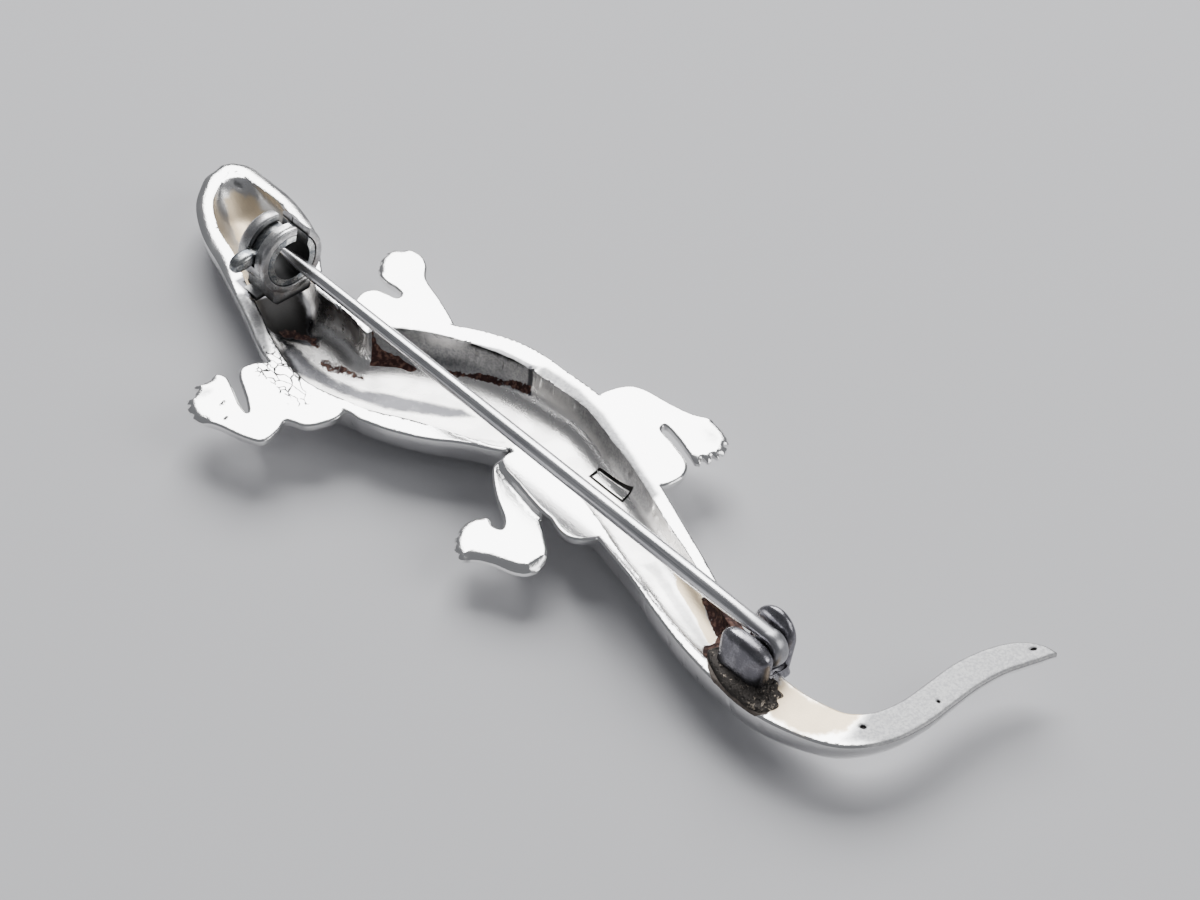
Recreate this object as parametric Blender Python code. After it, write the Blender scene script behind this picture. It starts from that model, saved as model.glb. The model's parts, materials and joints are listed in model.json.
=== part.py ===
"""Salamander brooch in cast silver, lying on its face with the pin uppermost.

The plan is drawn from the pin's hinge: +X runs along the pin to the catch, +Z is up.
The back of the casting is a flat plane one relief above the floor. At the end every
piece is moved so that the middle of the bounding box's floor is the origin.
All lengths are in metres. Tables hold shares of the named sizes beside them.
"""
import math

import bpy
import numpy as np
from mathutils import Matrix, Vector

MM = 0.001

# The casting
length = 75.0 * MM
span = 27.5 * MM
body_width = 11.8 * MM
relief = 3.6 * MM
rim_width = 1.0 * MM
hollow_depth = 2.8 * MM
dome_power = 2.4
ridge_flat = 0.97

# The legs
leg_reach = 10.0 * MM
leg_thickness = 0.90 * MM
leg_chamfer = 0.38 * MM
leg_step = 0.5 * MM

# The safety catch
drum_at = 0.644
drum_length = 3.2 * MM
drum_radius = 2.6 * MM
drum_wall = 0.5 * MM
drum_sink = 0.1 * MM
sleeve_fit = 0.05 * MM
sleeve_wall = 0.5 * MM
sleeve_inset = 0.06 * MM
lever_slot = 1.1 * MM
lever_fit = 0.1 * MM
lever_reach = 1.5 * MM
lever_thickness = 0.85 * MM
lever_rest_deg = 14.0
lever_travel_deg = 85.0
catch_plate = 0.6 * MM
catch_plate_margin = 0.35 * MM

# The pin
pin_side = 0.6 * MM
pin_drop = 0.6 * MM
pin_diameter = 1.2 * MM
mouth_clearance = 0.12 * MM
tip_inset = 0.3 * MM

# The hinge, with its rivet a little under the pin's line
pin_lift = 0.7 * MM
hinge_lean_deg = 12.0
knuckle_radius = 1.25 * MM
knuckle_width = 1.2 * MM
knuckle_play = 0.35 * MM
ear_thickness = 0.9 * MM
ear_length = 3.8 * MM
ear_rise = 0.7 * MM
ear_ahead = 0.6 * MM
hinge_plate_gap = 0.2 * MM
hinge_sink = 0.35 * MM
rivet_radius = 0.32 * MM
rivet_depth = 0.5 * MM
rivet_fit = 0.05 * MM
socket_fit = 0.03 * MM

# The solder
solder_length = 5.2 * MM
solder_width = 3.0 * MM
solder_height = 0.6 * MM

# Derived heights and places
back = relief
drum_x = drum_at * length
drum_y = pin_side
drum_z = back + catch_plate / 2 + drum_radius - drum_sink
drum_bore = drum_radius - drum_wall
sleeve_outer = drum_bore - sleeve_fit
sleeve_bore = sleeve_outer - sleeve_wall
pin_z = drum_z - pin_drop
pin_reach = drum_x + drum_length - tip_inset
pivot_z = pin_z - pin_lift
hinge_lean = math.radians(hinge_lean_deg)

# Stations along the spine, from snout to tail tip. x is a share of length, y of span,
# half of half the body width, relief and hollow of their depths, rims of rim_width.
SPINE = (
    # x, y, half, relief, rim_left, rim_right, hollow
    (0.857, -0.171, 0.07, 0.20, 0.02, 0.02, 0.00),
    (0.846, -0.160, 0.26, 0.52, 1.50, 1.50, 0.00),
    (0.826, -0.133, 0.42, 0.80, 1.60, 1.50, 0.42),
    (0.800, -0.102, 0.56, 0.96, 1.30, 1.30, 0.72),
    (0.760, -0.067, 0.65, 1.00, 1.30, 1.05, 0.84),
    (0.720, -0.034, 0.65, 1.00, 1.40, 0.90, 0.90),
    (0.680, 0.018, 0.58, 1.00, 1.20, 0.80, 0.93),
    (0.640, 0.064, 0.53, 1.00, 1.10, 0.65, 0.95),
    (0.590, 0.087, 0.66, 1.00, 1.15, 0.75, 1.00),
    (0.540, 0.094, 0.71, 1.00, 0.90, 1.00, 1.00),
    (0.500, 0.030, 0.92, 1.00, 1.10, 1.15, 1.00),
    (0.460, -0.033, 1.00, 1.00, 1.50, 1.50, 1.00),
    (0.420, -0.096, 0.97, 1.00, 1.05, 1.90, 1.00),
    (0.380, -0.133, 0.84, 1.00, 0.50, 1.80, 0.95),
    (0.340, -0.158, 0.70, 1.00, 0.50, 1.60, 0.90),
    (0.300, -0.130, 0.64, 1.00, 1.00, 1.20, 0.86),
    (0.260, -0.113, 0.57, 1.00, 1.20, 1.00, 0.82),
    (0.220, -0.090, 0.52, 1.00, 1.00, 1.05, 0.76),
    (0.180, -0.061, 0.475, 1.00, 0.65, 1.00, 0.70),
    (0.140, -0.031, 0.435, 1.00, 0.55, 0.85, 0.62),
    (0.100, 0.005, 0.405, 1.00, 0.60, 0.80, 0.54),
    (0.060, 0.038, 0.365, 0.96, 0.70, 0.72, 0.38),
    (0.020, 0.059, 0.335, 0.85, 0.80, 0.80, 0.12),
    (-0.022, 0.071, 0.300, 0.74, 0.80, 0.80, 0.00),
    (-0.058, 0.055, 0.270, 0.64, 0.80, 0.80, 0.00),
    (-0.090, 0.018, 0.240, 0.54, 0.70, 0.70, 0.00),
    (-0.108, -0.050, 0.215, 0.46, 0.60, 0.60, 0.00),
    (-0.115, -0.135, 0.200, 0.40, 0.60, 0.60, 0.00),
    (-0.115, -0.225, 0.196, 0.36, 0.60, 0.60, 0.00),
    (-0.115, -0.310, 0.196, 0.33, 0.60, 0.60, 0.00),
    (-0.120, -0.390, 0.185, 0.30, 0.50, 0.50, 0.00),
    (-0.129, -0.450, 0.165, 0.27, 0.50, 0.50, 0.00),
    (-0.139, -0.486, 0.105, 0.20, 0.30, 0.30, 0.00),
    (-0.148, -0.506, 0.020, 0.10, 0.01, 0.01, 0.00),
)

# Each leg's outline runs round it and closes inside the body. Points are shares of
# leg_reach from a root given in shares of length and span.
FRONT_LEFT_ROOT = (0.540, 0.145)
FRONT_LEFT = (
    (-0.48, 0.22), (-0.46, 0.37), (-0.41, 0.46), (-0.28, 0.53), (-0.32, 0.62),
    (-0.34, 0.77), (-0.22, 0.84), (-0.02, 0.90), (0.14, 0.97), (0.24, 0.96),
    (0.34, 0.91), (0.38, 0.82), (0.44, 0.77), (0.42, 0.69), (0.42, 0.60),
    (0.36, 0.57), (0.25, 0.60), (0.05, 0.67), (-0.04, 0.675), (0.05, 0.615),
    (0.17, 0.56), (0.30, 0.50), (0.36, 0.44), (0.35, 0.34), (0.29, 0.25),
    (0.20, 0.05), (-0.25, -0.05),
)
FRONT_RIGHT_ROOT = (0.550, -0.120)
FRONT_RIGHT = (
    (0.30, 0.19), (0.365, 0.10), (0.385, 0.01), (0.345, -0.06), (0.265, -0.09),
    (0.175, -0.12), (0.185, -0.16), (0.275, -0.175), (0.365, -0.165), (0.455, -0.18),
    (0.545, -0.23), (0.625, -0.33), (0.645, -0.43), (0.575, -0.51), (0.445, -0.545),
    (0.325, -0.50), (0.215, -0.41), (-0.055, -0.33), (-0.335, -0.23), (-0.465, -0.14),
    (-0.42, 0.08), (-0.12, 0.30), (0.12, 0.33),
)
REAR_RIGHT_ROOT = (0.280, -0.290)
REAR_RIGHT = (
    (0.47, -0.03), (0.46, -0.15), (0.40, -0.27), (0.31, -0.32), (0.06, -0.36),
    (-0.10, -0.40), (-0.22, -0.46), (-0.34, -0.45), (-0.44, -0.41), (-0.50, -0.33),
    (-0.52, -0.24), (-0.50, -0.16), (-0.46, -0.095), (-0.36, -0.115), (-0.20, -0.16),
    (-0.06, -0.175), (-0.07, -0.135), (-0.24, -0.095), (-0.44, -0.03), (-0.505, 0.06),
    (-0.51, 0.15), (-0.48, 0.24), (-0.30, 0.35), (0.35, 0.20),
)
REAR_LEFT_ROOT = (0.270, 0.000)
REAR_LEFT_SHIN = (
    (-0.07, 0.19), (-0.21, 0.29), (-0.33, 0.37), (-0.39, 0.45), (-0.39, 0.55),
    (-0.34, 0.62), (-0.15, 0.70), (-0.05, 0.77), (-0.01, 0.825), (0.09, 0.80),
    (0.16, 0.74), (0.21, 0.66), (0.23, 0.57), (0.22, 0.50), (0.16, 0.46),
    (0.08, 0.485), (0.02, 0.46), (0.07, 0.40), (0.27, 0.30), (0.40, 0.22),
    (0.48, 0.15), (0.50, 0.06), (0.42, -0.15), (-0.08, -0.10),
)
REAR_LEFT_THIGH = (
    (-0.50, 0.06), (-0.46, 0.15), (-0.38, 0.215), (-0.28, 0.225), (-0.16, 0.195),
    (-0.05, 0.19), (0.20, 0.15), (0.475, 0.085), (0.50, -0.04), (0.38, -0.25),
    (-0.32, -0.25),
)

# The pin's stem: shares of its reach, and of its diameter
PIN_TAPER = (
    # along, width
    (0.006, 0.90),
    (0.10, 1.00),
    (0.50, 0.93),
    (0.90, 0.82),
    (0.945, 0.79),
    (0.970, 0.62),
    (0.988, 0.36),
    (1.000, 0.06),
)


def clear_scene():
    for item in list(bpy.data.objects):
        bpy.data.objects.remove(item, do_unlink=True)


def collection(name):
    made = bpy.data.collections.new(name)
    bpy.context.scene.collection.children.link(made)
    return made


def smooth_rows(rows, steps, closed=False):
    """Rows read off a smooth curve through every given row, with steps between each pair."""
    points = np.asarray(rows, float)
    count = len(points)
    if closed:
        ring = np.vstack([points[-1:], points, points[:2]])
    else:
        ring = np.vstack([2 * points[0] - points[1], points, 2 * points[-1] - points[-2]])
    gap = np.sqrt(np.linalg.norm(np.diff(ring[:, :2], axis=0), axis=1)) + 1e-9
    slope = np.diff(ring, axis=0) / gap[:, None]
    before, after = gap[:-1, None], gap[1:, None]
    tangent = (slope[:-1] * after + slope[1:] * before) / (before + after)
    spans = count if closed else count - 1
    share = (np.arange(steps) / steps)[None, :, None]
    start = ring[1:spans + 1][:, None, :]
    end = ring[2:spans + 2][:, None, :]
    width = gap[1:spans + 1][:, None, None]
    leave = tangent[:spans][:, None, :] * width
    arrive = tangent[1:spans + 1] if not closed else np.vstack([tangent[1:], tangent[:1]])[:spans]
    arrive = arrive[:, None, :] * width
    h00 = 2 * share ** 3 - 3 * share ** 2 + 1
    h10 = share ** 3 - 2 * share ** 2 + share
    h01 = 3 * share ** 2 - 2 * share ** 3
    h11 = share ** 3 - share ** 2
    curve = (h00 * start + h10 * leave + h01 * end + h11 * arrive).reshape(-1, points.shape[1])
    if not closed:
        curve = np.vstack([curve, points[-1:]])
    return curve


def solid(name, verts, faces, home, origin=(0.0, 0.0, 0.0)):
    """A mesh object whose origin is at the given place."""
    origin = Vector(origin)
    mesh = bpy.data.meshes.new(name)
    mesh.from_pydata([Vector(v) - origin for v in verts], [], faces)
    mesh.update()
    made = bpy.data.objects.new(name, mesh)
    made.location = origin
    home.objects.link(made)
    return made


def tool(name, verts, faces, home):
    """A cutter or an added lump that is only seen through a Boolean."""
    made = solid(name, verts, faces, home)
    made.hide_render = True
    made.display_type = "WIRE"
    return made


def boolean(target, operand, operation):
    step = target.modifiers.new(operation.lower() + " " + operand.name, "BOOLEAN")
    step.operation = operation
    step.solver = "EXACT"
    step.object = operand


def loft(sections):
    """Closed faces through equal rings of points; the last index runs round the ring."""
    count, around = len(sections), len(sections[0])
    verts = [tuple(p) for ring in sections for p in ring]
    faces = []
    for i in range(count - 1):
        for j in range(around):
            k = (j + 1) % around
            faces.append((i * around + j, i * around + k, (i + 1) * around + k, (i + 1) * around + j))
    faces.append(tuple(reversed(range(around))))
    faces.append(tuple(range((count - 1) * around, count * around)))
    return verts, faces


def plate(outline, bottom, top, chamfer=0.0):
    """An upright plate over a plan outline, with a chamfer round its lower edge."""
    ring = np.asarray(outline, float)
    area = np.sum(ring[:, 0] * np.roll(ring[:, 1], -1) - np.roll(ring[:, 0], -1) * ring[:, 1])
    if area < 0:
        ring = ring[::-1]
    levels = []
    if chamfer > 0:
        step = np.roll(ring, -1, axis=0) - np.roll(ring, 1, axis=0)
        step /= np.linalg.norm(step, axis=1)[:, None]
        inner = ring + chamfer * np.column_stack([-step[:, 1], step[:, 0]])
        levels.append(np.column_stack([inner, np.full(len(ring), bottom)]))
        bottom = bottom + chamfer
    levels.append(np.column_stack([ring, np.full(len(ring), bottom)]))
    levels.append(np.column_stack([ring, np.full(len(ring), top)]))
    return loft(levels)


def along_axis(profile, axis, start, end):
    """A closed profile of (u, v) pairs carried along X or Y between two places."""
    if axis == "X":
        rings = [[(place, u, v) for u, v in profile] for place in (start, end)]
    else:
        rings = [[(u, place, v) for u, v in profile[::-1]] for place in (start, end)]
    return loft(rings)


def circle(radius, centre, segments):
    return [
        (centre[0] + radius * math.cos(2 * math.pi * i / segments),
         centre[1] + radius * math.sin(2 * math.pi * i / segments))
        for i in range(segments)
    ]


def sector(radius, centre, first, last, segments):
    """A pie slice between two angles in degrees, measured from +Y towards +Z."""
    rim = []
    for i in range(segments + 1):
        angle = math.radians(first + (last - first) * i / segments)
        rim.append((centre[0] + radius * math.cos(angle), centre[1] + radius * math.sin(angle)))
    return [tuple(centre)] + rim


def lean(verts):
    """Tilt about the pin's line so that the pin swings up and towards -Y."""
    turn = Matrix.Rotation(hinge_lean, 3, "X")
    line = Vector((0.0, 0.0, pin_z))
    return [tuple(turn @ (Vector(v) - line) + line) for v in verts]


def spine_frames(steps):
    """Section frames along the spine: middle, sideways direction and interpolated columns."""
    rows = np.asarray(SPINE, float)
    sized = rows.copy()
    sized[:, 0] *= length
    sized[:, 1] *= span
    curve = smooth_rows(sized, steps)
    ahead = np.gradient(curve[:, :2], axis=0)
    ahead /= np.linalg.norm(ahead, axis=1)[:, None]
    side = np.column_stack([ahead[:, 1], -ahead[:, 0]])
    return curve, side


def edges_at(place):
    """Where the casting's outer edges and its hollow's edges cross a plane of constant X."""
    curve, side = spine_frames(4)
    half = curve[:, 2] * body_width / 2
    left = curve[:, :2] + side * half[:, None]
    right = curve[:, :2] - side * half[:, None]
    left_in = curve[:, :2] + side * (half - curve[:, 4] * rim_width)[:, None]
    right_in = curve[:, :2] - side * (half - curve[:, 5] * rim_width)[:, None]
    found = []
    for edge in (left, left_in, right_in, right):
        ahead = edge[edge[:, 0] > 0.1 * length]
        order = np.argsort(ahead[:, 0])
        found.append(float(np.interp(place, ahead[order, 0], ahead[order, 1])))
    return found


def body_sections():
    """Domed underside and straight sides, closed above the back plane for trimming."""
    curve, side = spine_frames(2)
    angle = np.linspace(0.0, math.pi, 15)
    across = np.sign(np.cos(angle)) * np.abs(np.cos(angle)) ** (2 / dome_power)
    down = np.minimum(np.sin(angle) ** (2 / dome_power), ridge_flat) / ridge_flat
    lift = 0.15 * relief
    rings = []
    for row, sideways in zip(curve, side):
        half = max(row[2], 0.01) * body_width / 2
        deep = row[3] * relief
        ring = [(half, back + lift)]
        ring += [(half * a, back - deep * d) for a, d in zip(across, down)]
        ring += [(-half, back + lift)]
        rings.append([(row[0] + sideways[0] * u, row[1] + sideways[1] * u, z) for u, z in ring])
    return rings


def hollow_sections():
    """The trough's cutter: round-bottomed, between the two rims, from head to tail."""
    curve, side = spine_frames(2)
    angle = np.linspace(0.0, math.pi, 11)
    across = np.sign(np.cos(angle)) * np.abs(np.cos(angle)) ** (2 / 2.2)
    down = np.sin(angle) ** (2 / 2.2)
    rings = []
    for row, sideways in zip(curve, side):
        if row[6] < 0.04 or row[0] < 0.015 * length:
            continue
        half = row[2] * body_width / 2
        left = half - row[4] * rim_width
        right = half - row[5] * rim_width
        if left + right < 0.06 * body_width:
            continue
        middle, reach = (left - right) / 2, (left + right) / 2
        deep = row[6] * hollow_depth
        ring = [(left, back + relief)]
        ring += [(middle + reach * a, back - deep * d) for a, d in zip(across, down)]
        ring += [(-right, back + relief)]
        rings.append([(row[0] + sideways[0] * u, row[1] + sideways[1] * u, z) for u, z in ring])
    return rings


def leg_outline(root, shares):
    start = np.array([root[0] * length, root[1] * span])
    return start + leg_reach * smooth_rows(shares, 2, closed=True)


def box(low, high):
    (x0, y0, z0), (x1, y1, z1) = low, high
    verts = [
        (x0, y0, z0), (x1, y0, z0), (x1, y1, z0), (x0, y1, z0),
        (x0, y0, z1), (x1, y0, z1), (x1, y1, z1), (x0, y1, z1),
    ]
    faces = [(3, 2, 1, 0), (4, 5, 6, 7), (0, 1, 5, 4), (1, 2, 6, 5), (2, 3, 7, 6), (3, 0, 4, 7)]
    return verts, faces


def pin_band(top):
    """The slot that the leaning pin sweeps through the drum, wide enough for its shank."""
    half = shank_radius() + mouth_clearance
    low = pin_z - half
    front = drum_x - drum_length
    rear = drum_x + 2 * drum_length
    verts, faces = box((front, -half, low), (rear, half, top))
    return lean(verts), faces


def shank_radius():
    """The pin's radius where it enters the drum."""
    along = [row[0] * pin_reach for row in PIN_TAPER]
    width = [row[1] * pin_diameter / 2 for row in PIN_TAPER]
    return float(np.interp(drum_x, along, width))


def make_housing(cutters):
    """The C-shaped drum with its mouth, its lever slot and the plate under it."""
    centre = (drum_y, drum_z)
    first, last = drum_x, drum_x + drum_length
    middle = (first + last) / 2
    drum = tool("drum", *along_axis(circle(drum_radius, centre, 32), "X", first, last), cutters)
    bore = tool("drum bore", *along_axis(
        circle(drum_bore, centre, 32), "X", first - drum_length, last + drum_length), cutters)
    mouth = tool("drum mouth", *pin_band(drum_z + 2 * drum_radius), cutters)
    swing = math.degrees((0.5 * lever_thickness + lever_fit) / drum_bore)
    slot = tool("lever slot", *along_axis(
        sector(2 * drum_radius, centre, lever_rest_deg - swing,
               lever_rest_deg + lever_travel_deg + swing, 12),
        "X", middle - lever_slot / 2, middle + lever_slot / 2), cutters)
    boolean(drum, bore, "DIFFERENCE")
    boolean(drum, mouth, "DIFFERENCE")
    boolean(drum, slot, "DIFFERENCE")
    return drum


def make_catch_plate(cutters):
    """The plate that bridges the casting's rims, and the block that carries the drum."""
    first = drum_x - catch_plate_margin
    last = drum_x + drum_length + catch_plate_margin
    corners = []
    for place in (first, last):
        left, left_in, right_in, right = edges_at(place)
        corners.append((place, left_in + 0.4 * (left - left_in), right_in + 0.4 * (right - right_in)))
    (x0, l0, r0), (x1, l1, r1) = corners
    outline = [(x0, r0), (x1, r1), (x1, l1), (x0, l0)]
    base = tool("catch plate", *plate(outline, back - catch_plate / 2, back + catch_plate / 2), cutters)
    half = 0.55 * drum_radius
    floor = drum_z - drum_bore - sleeve_fit
    block = tool("catch block", *box(
        (drum_x + sleeve_inset, drum_y - half, back),
        (drum_x + drum_length - sleeve_inset, drum_y + half, floor)),
        cutters)
    return base, block


def make_hinge(cutters):
    """Two rounded ears on a small plate, leaning with the pin, with blind sockets."""
    inner = knuckle_width / 2 + knuckle_play
    outer = inner + ear_thickness
    foot = pivot_z - knuckle_radius - hinge_plate_gap
    low = back - hinge_sink - outer * math.sin(hinge_lean)
    half = ear_length / 2
    ears = []
    for name, near, far in (("left ear", inner, outer), ("right ear", -outer, -inner)):
        arch = [
            (ear_ahead + half * math.cos(math.pi * i / 14),
             pivot_z + ear_rise * math.sin(math.pi * i / 14))
            for i in range(15)
        ]
        profile = [(ear_ahead + half, low)] + arch + [(ear_ahead - half, low)]
        verts, faces = along_axis(profile, "Y", near, far)
        ears.append(tool(name, lean(verts), faces, cutters))
    under = low + 0.4 * hinge_sink
    verts, faces = box(
        (ear_ahead - 0.93 * half, -0.8 * outer, under), (ear_ahead + 0.95 * half, 0.8 * outer, foot))
    bracket = tool("hinge plate", lean(verts), faces, cutters)
    for ear in ears:
        boolean(bracket, ear, "UNION")
    depth = inner + rivet_depth + socket_fit
    profile = circle(rivet_radius + socket_fit, (0.0, pivot_z), 20)
    verts, faces = along_axis(profile, "Y", -depth, depth)
    socket = tool("rivet socket", lean(verts), faces, cutters)
    return bracket, socket


def make_solder(cutters):
    """A low puddle of solder that joins the hinge's plate to the casting."""
    rings = []
    for level in (-0.9, -0.5, 0.0, 0.5, 0.9):
        share = math.sqrt(1 - level ** 2)
        ring = circle(share, (0.0, 0.0), 20)
        rings.append([
            (-0.07 * solder_length + u * solder_length / 2, 0.08 * span + v * solder_width / 2,
             back + level * solder_height)
            for u, v in ring
        ])
    return tool("solder", *loft(rings), cutters)


def make_body(home, cutters):
    body = solid("salamander_body", *loft(body_sections()), home)
    flat = back - leg_thickness
    legs = (
        ("front left leg", FRONT_LEFT_ROOT, FRONT_LEFT, 0.0, 0.10),
        ("front right leg", FRONT_RIGHT_ROOT, FRONT_RIGHT, 0.0, 0.11),
        ("rear right leg", REAR_RIGHT_ROOT, REAR_RIGHT, 0.0, 0.12),
        ("rear left thigh", REAR_LEFT_ROOT, REAR_LEFT_THIGH, 0.0, 0.13),
        ("rear left shin", REAR_LEFT_ROOT, REAR_LEFT_SHIN, leg_step, None),
    )
    for name, root, shares, drop, lift in legs:
        top = back - drop if lift is None else back + lift * relief
        leg = tool(name, *plate(leg_outline(root, shares), flat - drop, top, leg_chamfer), cutters)
        boolean(body, leg, "UNION")
    trim = tool("back trim", *box(
        (-length, -2 * span, back), (2 * length, 2 * span, back + 2 * relief)), cutters)
    boolean(body, trim, "DIFFERENCE")
    trough = tool("hollow", *loft(hollow_sections()), cutters)
    boolean(body, trough, "DIFFERENCE")
    drum = make_housing(cutters)
    base, block = make_catch_plate(cutters)
    bracket, socket = make_hinge(cutters)
    for part in (base, block, drum, make_solder(cutters), bracket):
        boolean(body, part, "UNION")
    boolean(body, socket, "DIFFERENCE")
    return body


def make_pin(home, cutters):
    """The knuckle and the tapering stem in one piece, bored for the rivet."""
    profile = circle(knuckle_radius, (0.0, pivot_z), 24)
    verts, faces = along_axis(profile, "Y", -knuckle_width / 2, knuckle_width / 2)
    pin = solid("pin_stem", lean(verts), faces, home, lean([(0.0, 0.0, pivot_z)])[0])
    rings = []
    for share, width in PIN_TAPER:
        ring = circle(width * pin_diameter / 2, (0.0, pin_z), 14)
        rings.append([(share * pin_reach, u, v) for u, v in ring])
    stem = tool("pin shank", *loft(rings), cutters)
    verts, faces = along_axis(
        circle(rivet_radius + rivet_fit, (0.0, pivot_z), 20), "Y", -knuckle_width, knuckle_width)
    bore = tool("knuckle bore", lean(verts), faces, cutters)
    boolean(pin, stem, "UNION")
    boolean(pin, bore, "DIFFERENCE")
    return pin


def make_sleeve(home, cutters):
    """The rotating inner ring, gapped to let the pin out, with its lever."""
    centre = (drum_y, drum_z)
    first, last = drum_x + sleeve_inset, drum_x + drum_length - sleeve_inset
    middle = (first + last) / 2
    origin = (middle, drum_y, drum_z)
    sleeve = solid("catch_sleeve", *along_axis(circle(sleeve_outer, centre, 32), "X", first, last),
                   home, origin)
    bore = tool("sleeve bore", *along_axis(
        circle(sleeve_bore, centre, 32), "X", first - drum_length, last + drum_length), cutters)
    gap = tool("sleeve gap", *pin_band(drum_z + 2 * drum_radius), cutters)
    turn = math.radians(lever_rest_deg)
    out, up = Vector((math.cos(turn), math.sin(turn))), Vector((-math.sin(turn), math.cos(turn)))
    root = sleeve_outer - 0.5 * sleeve_wall
    tip = drum_radius + lever_reach - lever_thickness / 2
    outline = [(root, -0.42), (tip, -0.50)]
    outline += [
        (tip + 0.5 * lever_thickness * math.cos(a), 0.5 * math.sin(a))
        for a in (math.radians(d) for d in (-60, -30, 0, 30, 60))
    ]
    outline += [(tip, 0.50), (root, 0.42)]
    profile = []
    for r, s in outline:
        spot = Vector(centre) + out * r + up * (s * lever_thickness)
        profile.append((spot.x, spot.y))
    half = lever_slot / 2 - lever_fit
    lever = tool("lever", *along_axis(profile, "X", middle - half, middle + half), cutters)
    boolean(sleeve, bore, "DIFFERENCE")
    boolean(sleeve, gap, "DIFFERENCE")
    boolean(sleeve, lever, "UNION")
    return sleeve


def make_rivet(home):
    reach = knuckle_width / 2 + knuckle_play + rivet_depth
    verts, faces = along_axis(circle(rivet_radius, (0.0, pivot_z), 20), "Y", -reach, reach)
    return solid("hinge_rivet", lean(verts), faces, home)


def finish(piece, name, colour, roughness):
    paint = bpy.data.materials.new(name)
    paint.use_nodes = True
    shader = paint.node_tree.nodes["Principled BSDF"]
    shader.inputs["Base Color"].default_value = (*colour, 1.0)
    shader.inputs["Metallic"].default_value = 1.0
    shader.inputs["Roughness"].default_value = roughness
    piece.data.materials.append(paint)


def settle(pieces):
    """Move everything so that the middle of the bounding box's floor is the origin."""
    bpy.context.view_layer.update()
    graph = bpy.context.evaluated_depsgraph_get()
    corners = []
    for piece in pieces:
        shape = piece.evaluated_get(graph)
        corners += [shape.matrix_world @ v.co for v in shape.data.vertices]
    spots = np.array([tuple(c) for c in corners])
    low, high = spots.min(axis=0), spots.max(axis=0)
    shift = Vector((-(low[0] + high[0]) / 2, -(low[1] + high[1]) / 2, -low[2]))
    for item in bpy.data.objects:
        item.location += shift
    bpy.context.view_layer.update()


def main():
    clear_scene()
    home = collection("salamander brooch")
    cutters = collection("cutters")
    body = make_body(home, cutters)
    pin = make_pin(home, cutters)
    sleeve = make_sleeve(home, cutters)
    rivet = make_rivet(home)
    finish(body, "cast silver", (0.86, 0.86, 0.85), 0.22)
    finish(pin, "drawn wire", (0.62, 0.62, 0.64), 0.25)
    finish(sleeve, "steel sleeve", (0.40, 0.42, 0.44), 0.30)
    finish(rivet, "rivet wire", (0.55, 0.55, 0.56), 0.30)
    settle([body, pin, sleeve, rivet])


main()
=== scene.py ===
"""Looks of a salamander brooch lying face down, with its pin and safety catch uppermost.

Plans are drawn in millimetres from the pin's hinge: +X runs along the pin to the catch,
+Z is up. One shift, read from the catch's joint, puts every mesh into the CAD frame.
"""
import json
import logging
import math
from dataclasses import dataclass, field
from enum import Enum

import bmesh
import bpy
import numpy as np
from mathutils import Matrix, Vector
from mathutils.geometry import delaunay_2d_cdt


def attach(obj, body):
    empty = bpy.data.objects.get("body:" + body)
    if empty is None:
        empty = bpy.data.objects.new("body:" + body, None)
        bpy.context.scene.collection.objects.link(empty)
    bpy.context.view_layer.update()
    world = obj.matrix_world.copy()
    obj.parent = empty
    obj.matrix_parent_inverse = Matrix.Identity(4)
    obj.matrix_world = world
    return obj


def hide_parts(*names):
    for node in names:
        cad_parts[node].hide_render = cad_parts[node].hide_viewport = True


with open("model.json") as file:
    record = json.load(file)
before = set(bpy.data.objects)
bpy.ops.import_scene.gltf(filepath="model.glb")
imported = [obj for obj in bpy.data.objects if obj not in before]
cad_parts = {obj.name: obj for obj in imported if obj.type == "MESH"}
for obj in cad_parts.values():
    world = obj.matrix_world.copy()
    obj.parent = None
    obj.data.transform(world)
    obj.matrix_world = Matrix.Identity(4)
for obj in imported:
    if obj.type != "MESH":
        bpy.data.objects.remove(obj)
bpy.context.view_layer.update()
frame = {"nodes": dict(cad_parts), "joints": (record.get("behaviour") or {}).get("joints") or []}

Array = np.ndarray
Plan = tuple[tuple[float, float], ...]
Socket = bpy.types.NodeSocket
Thing = bpy.types.Object
MM = 0.001
LOG = logging.getLogger("salamander_brooch")

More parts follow.
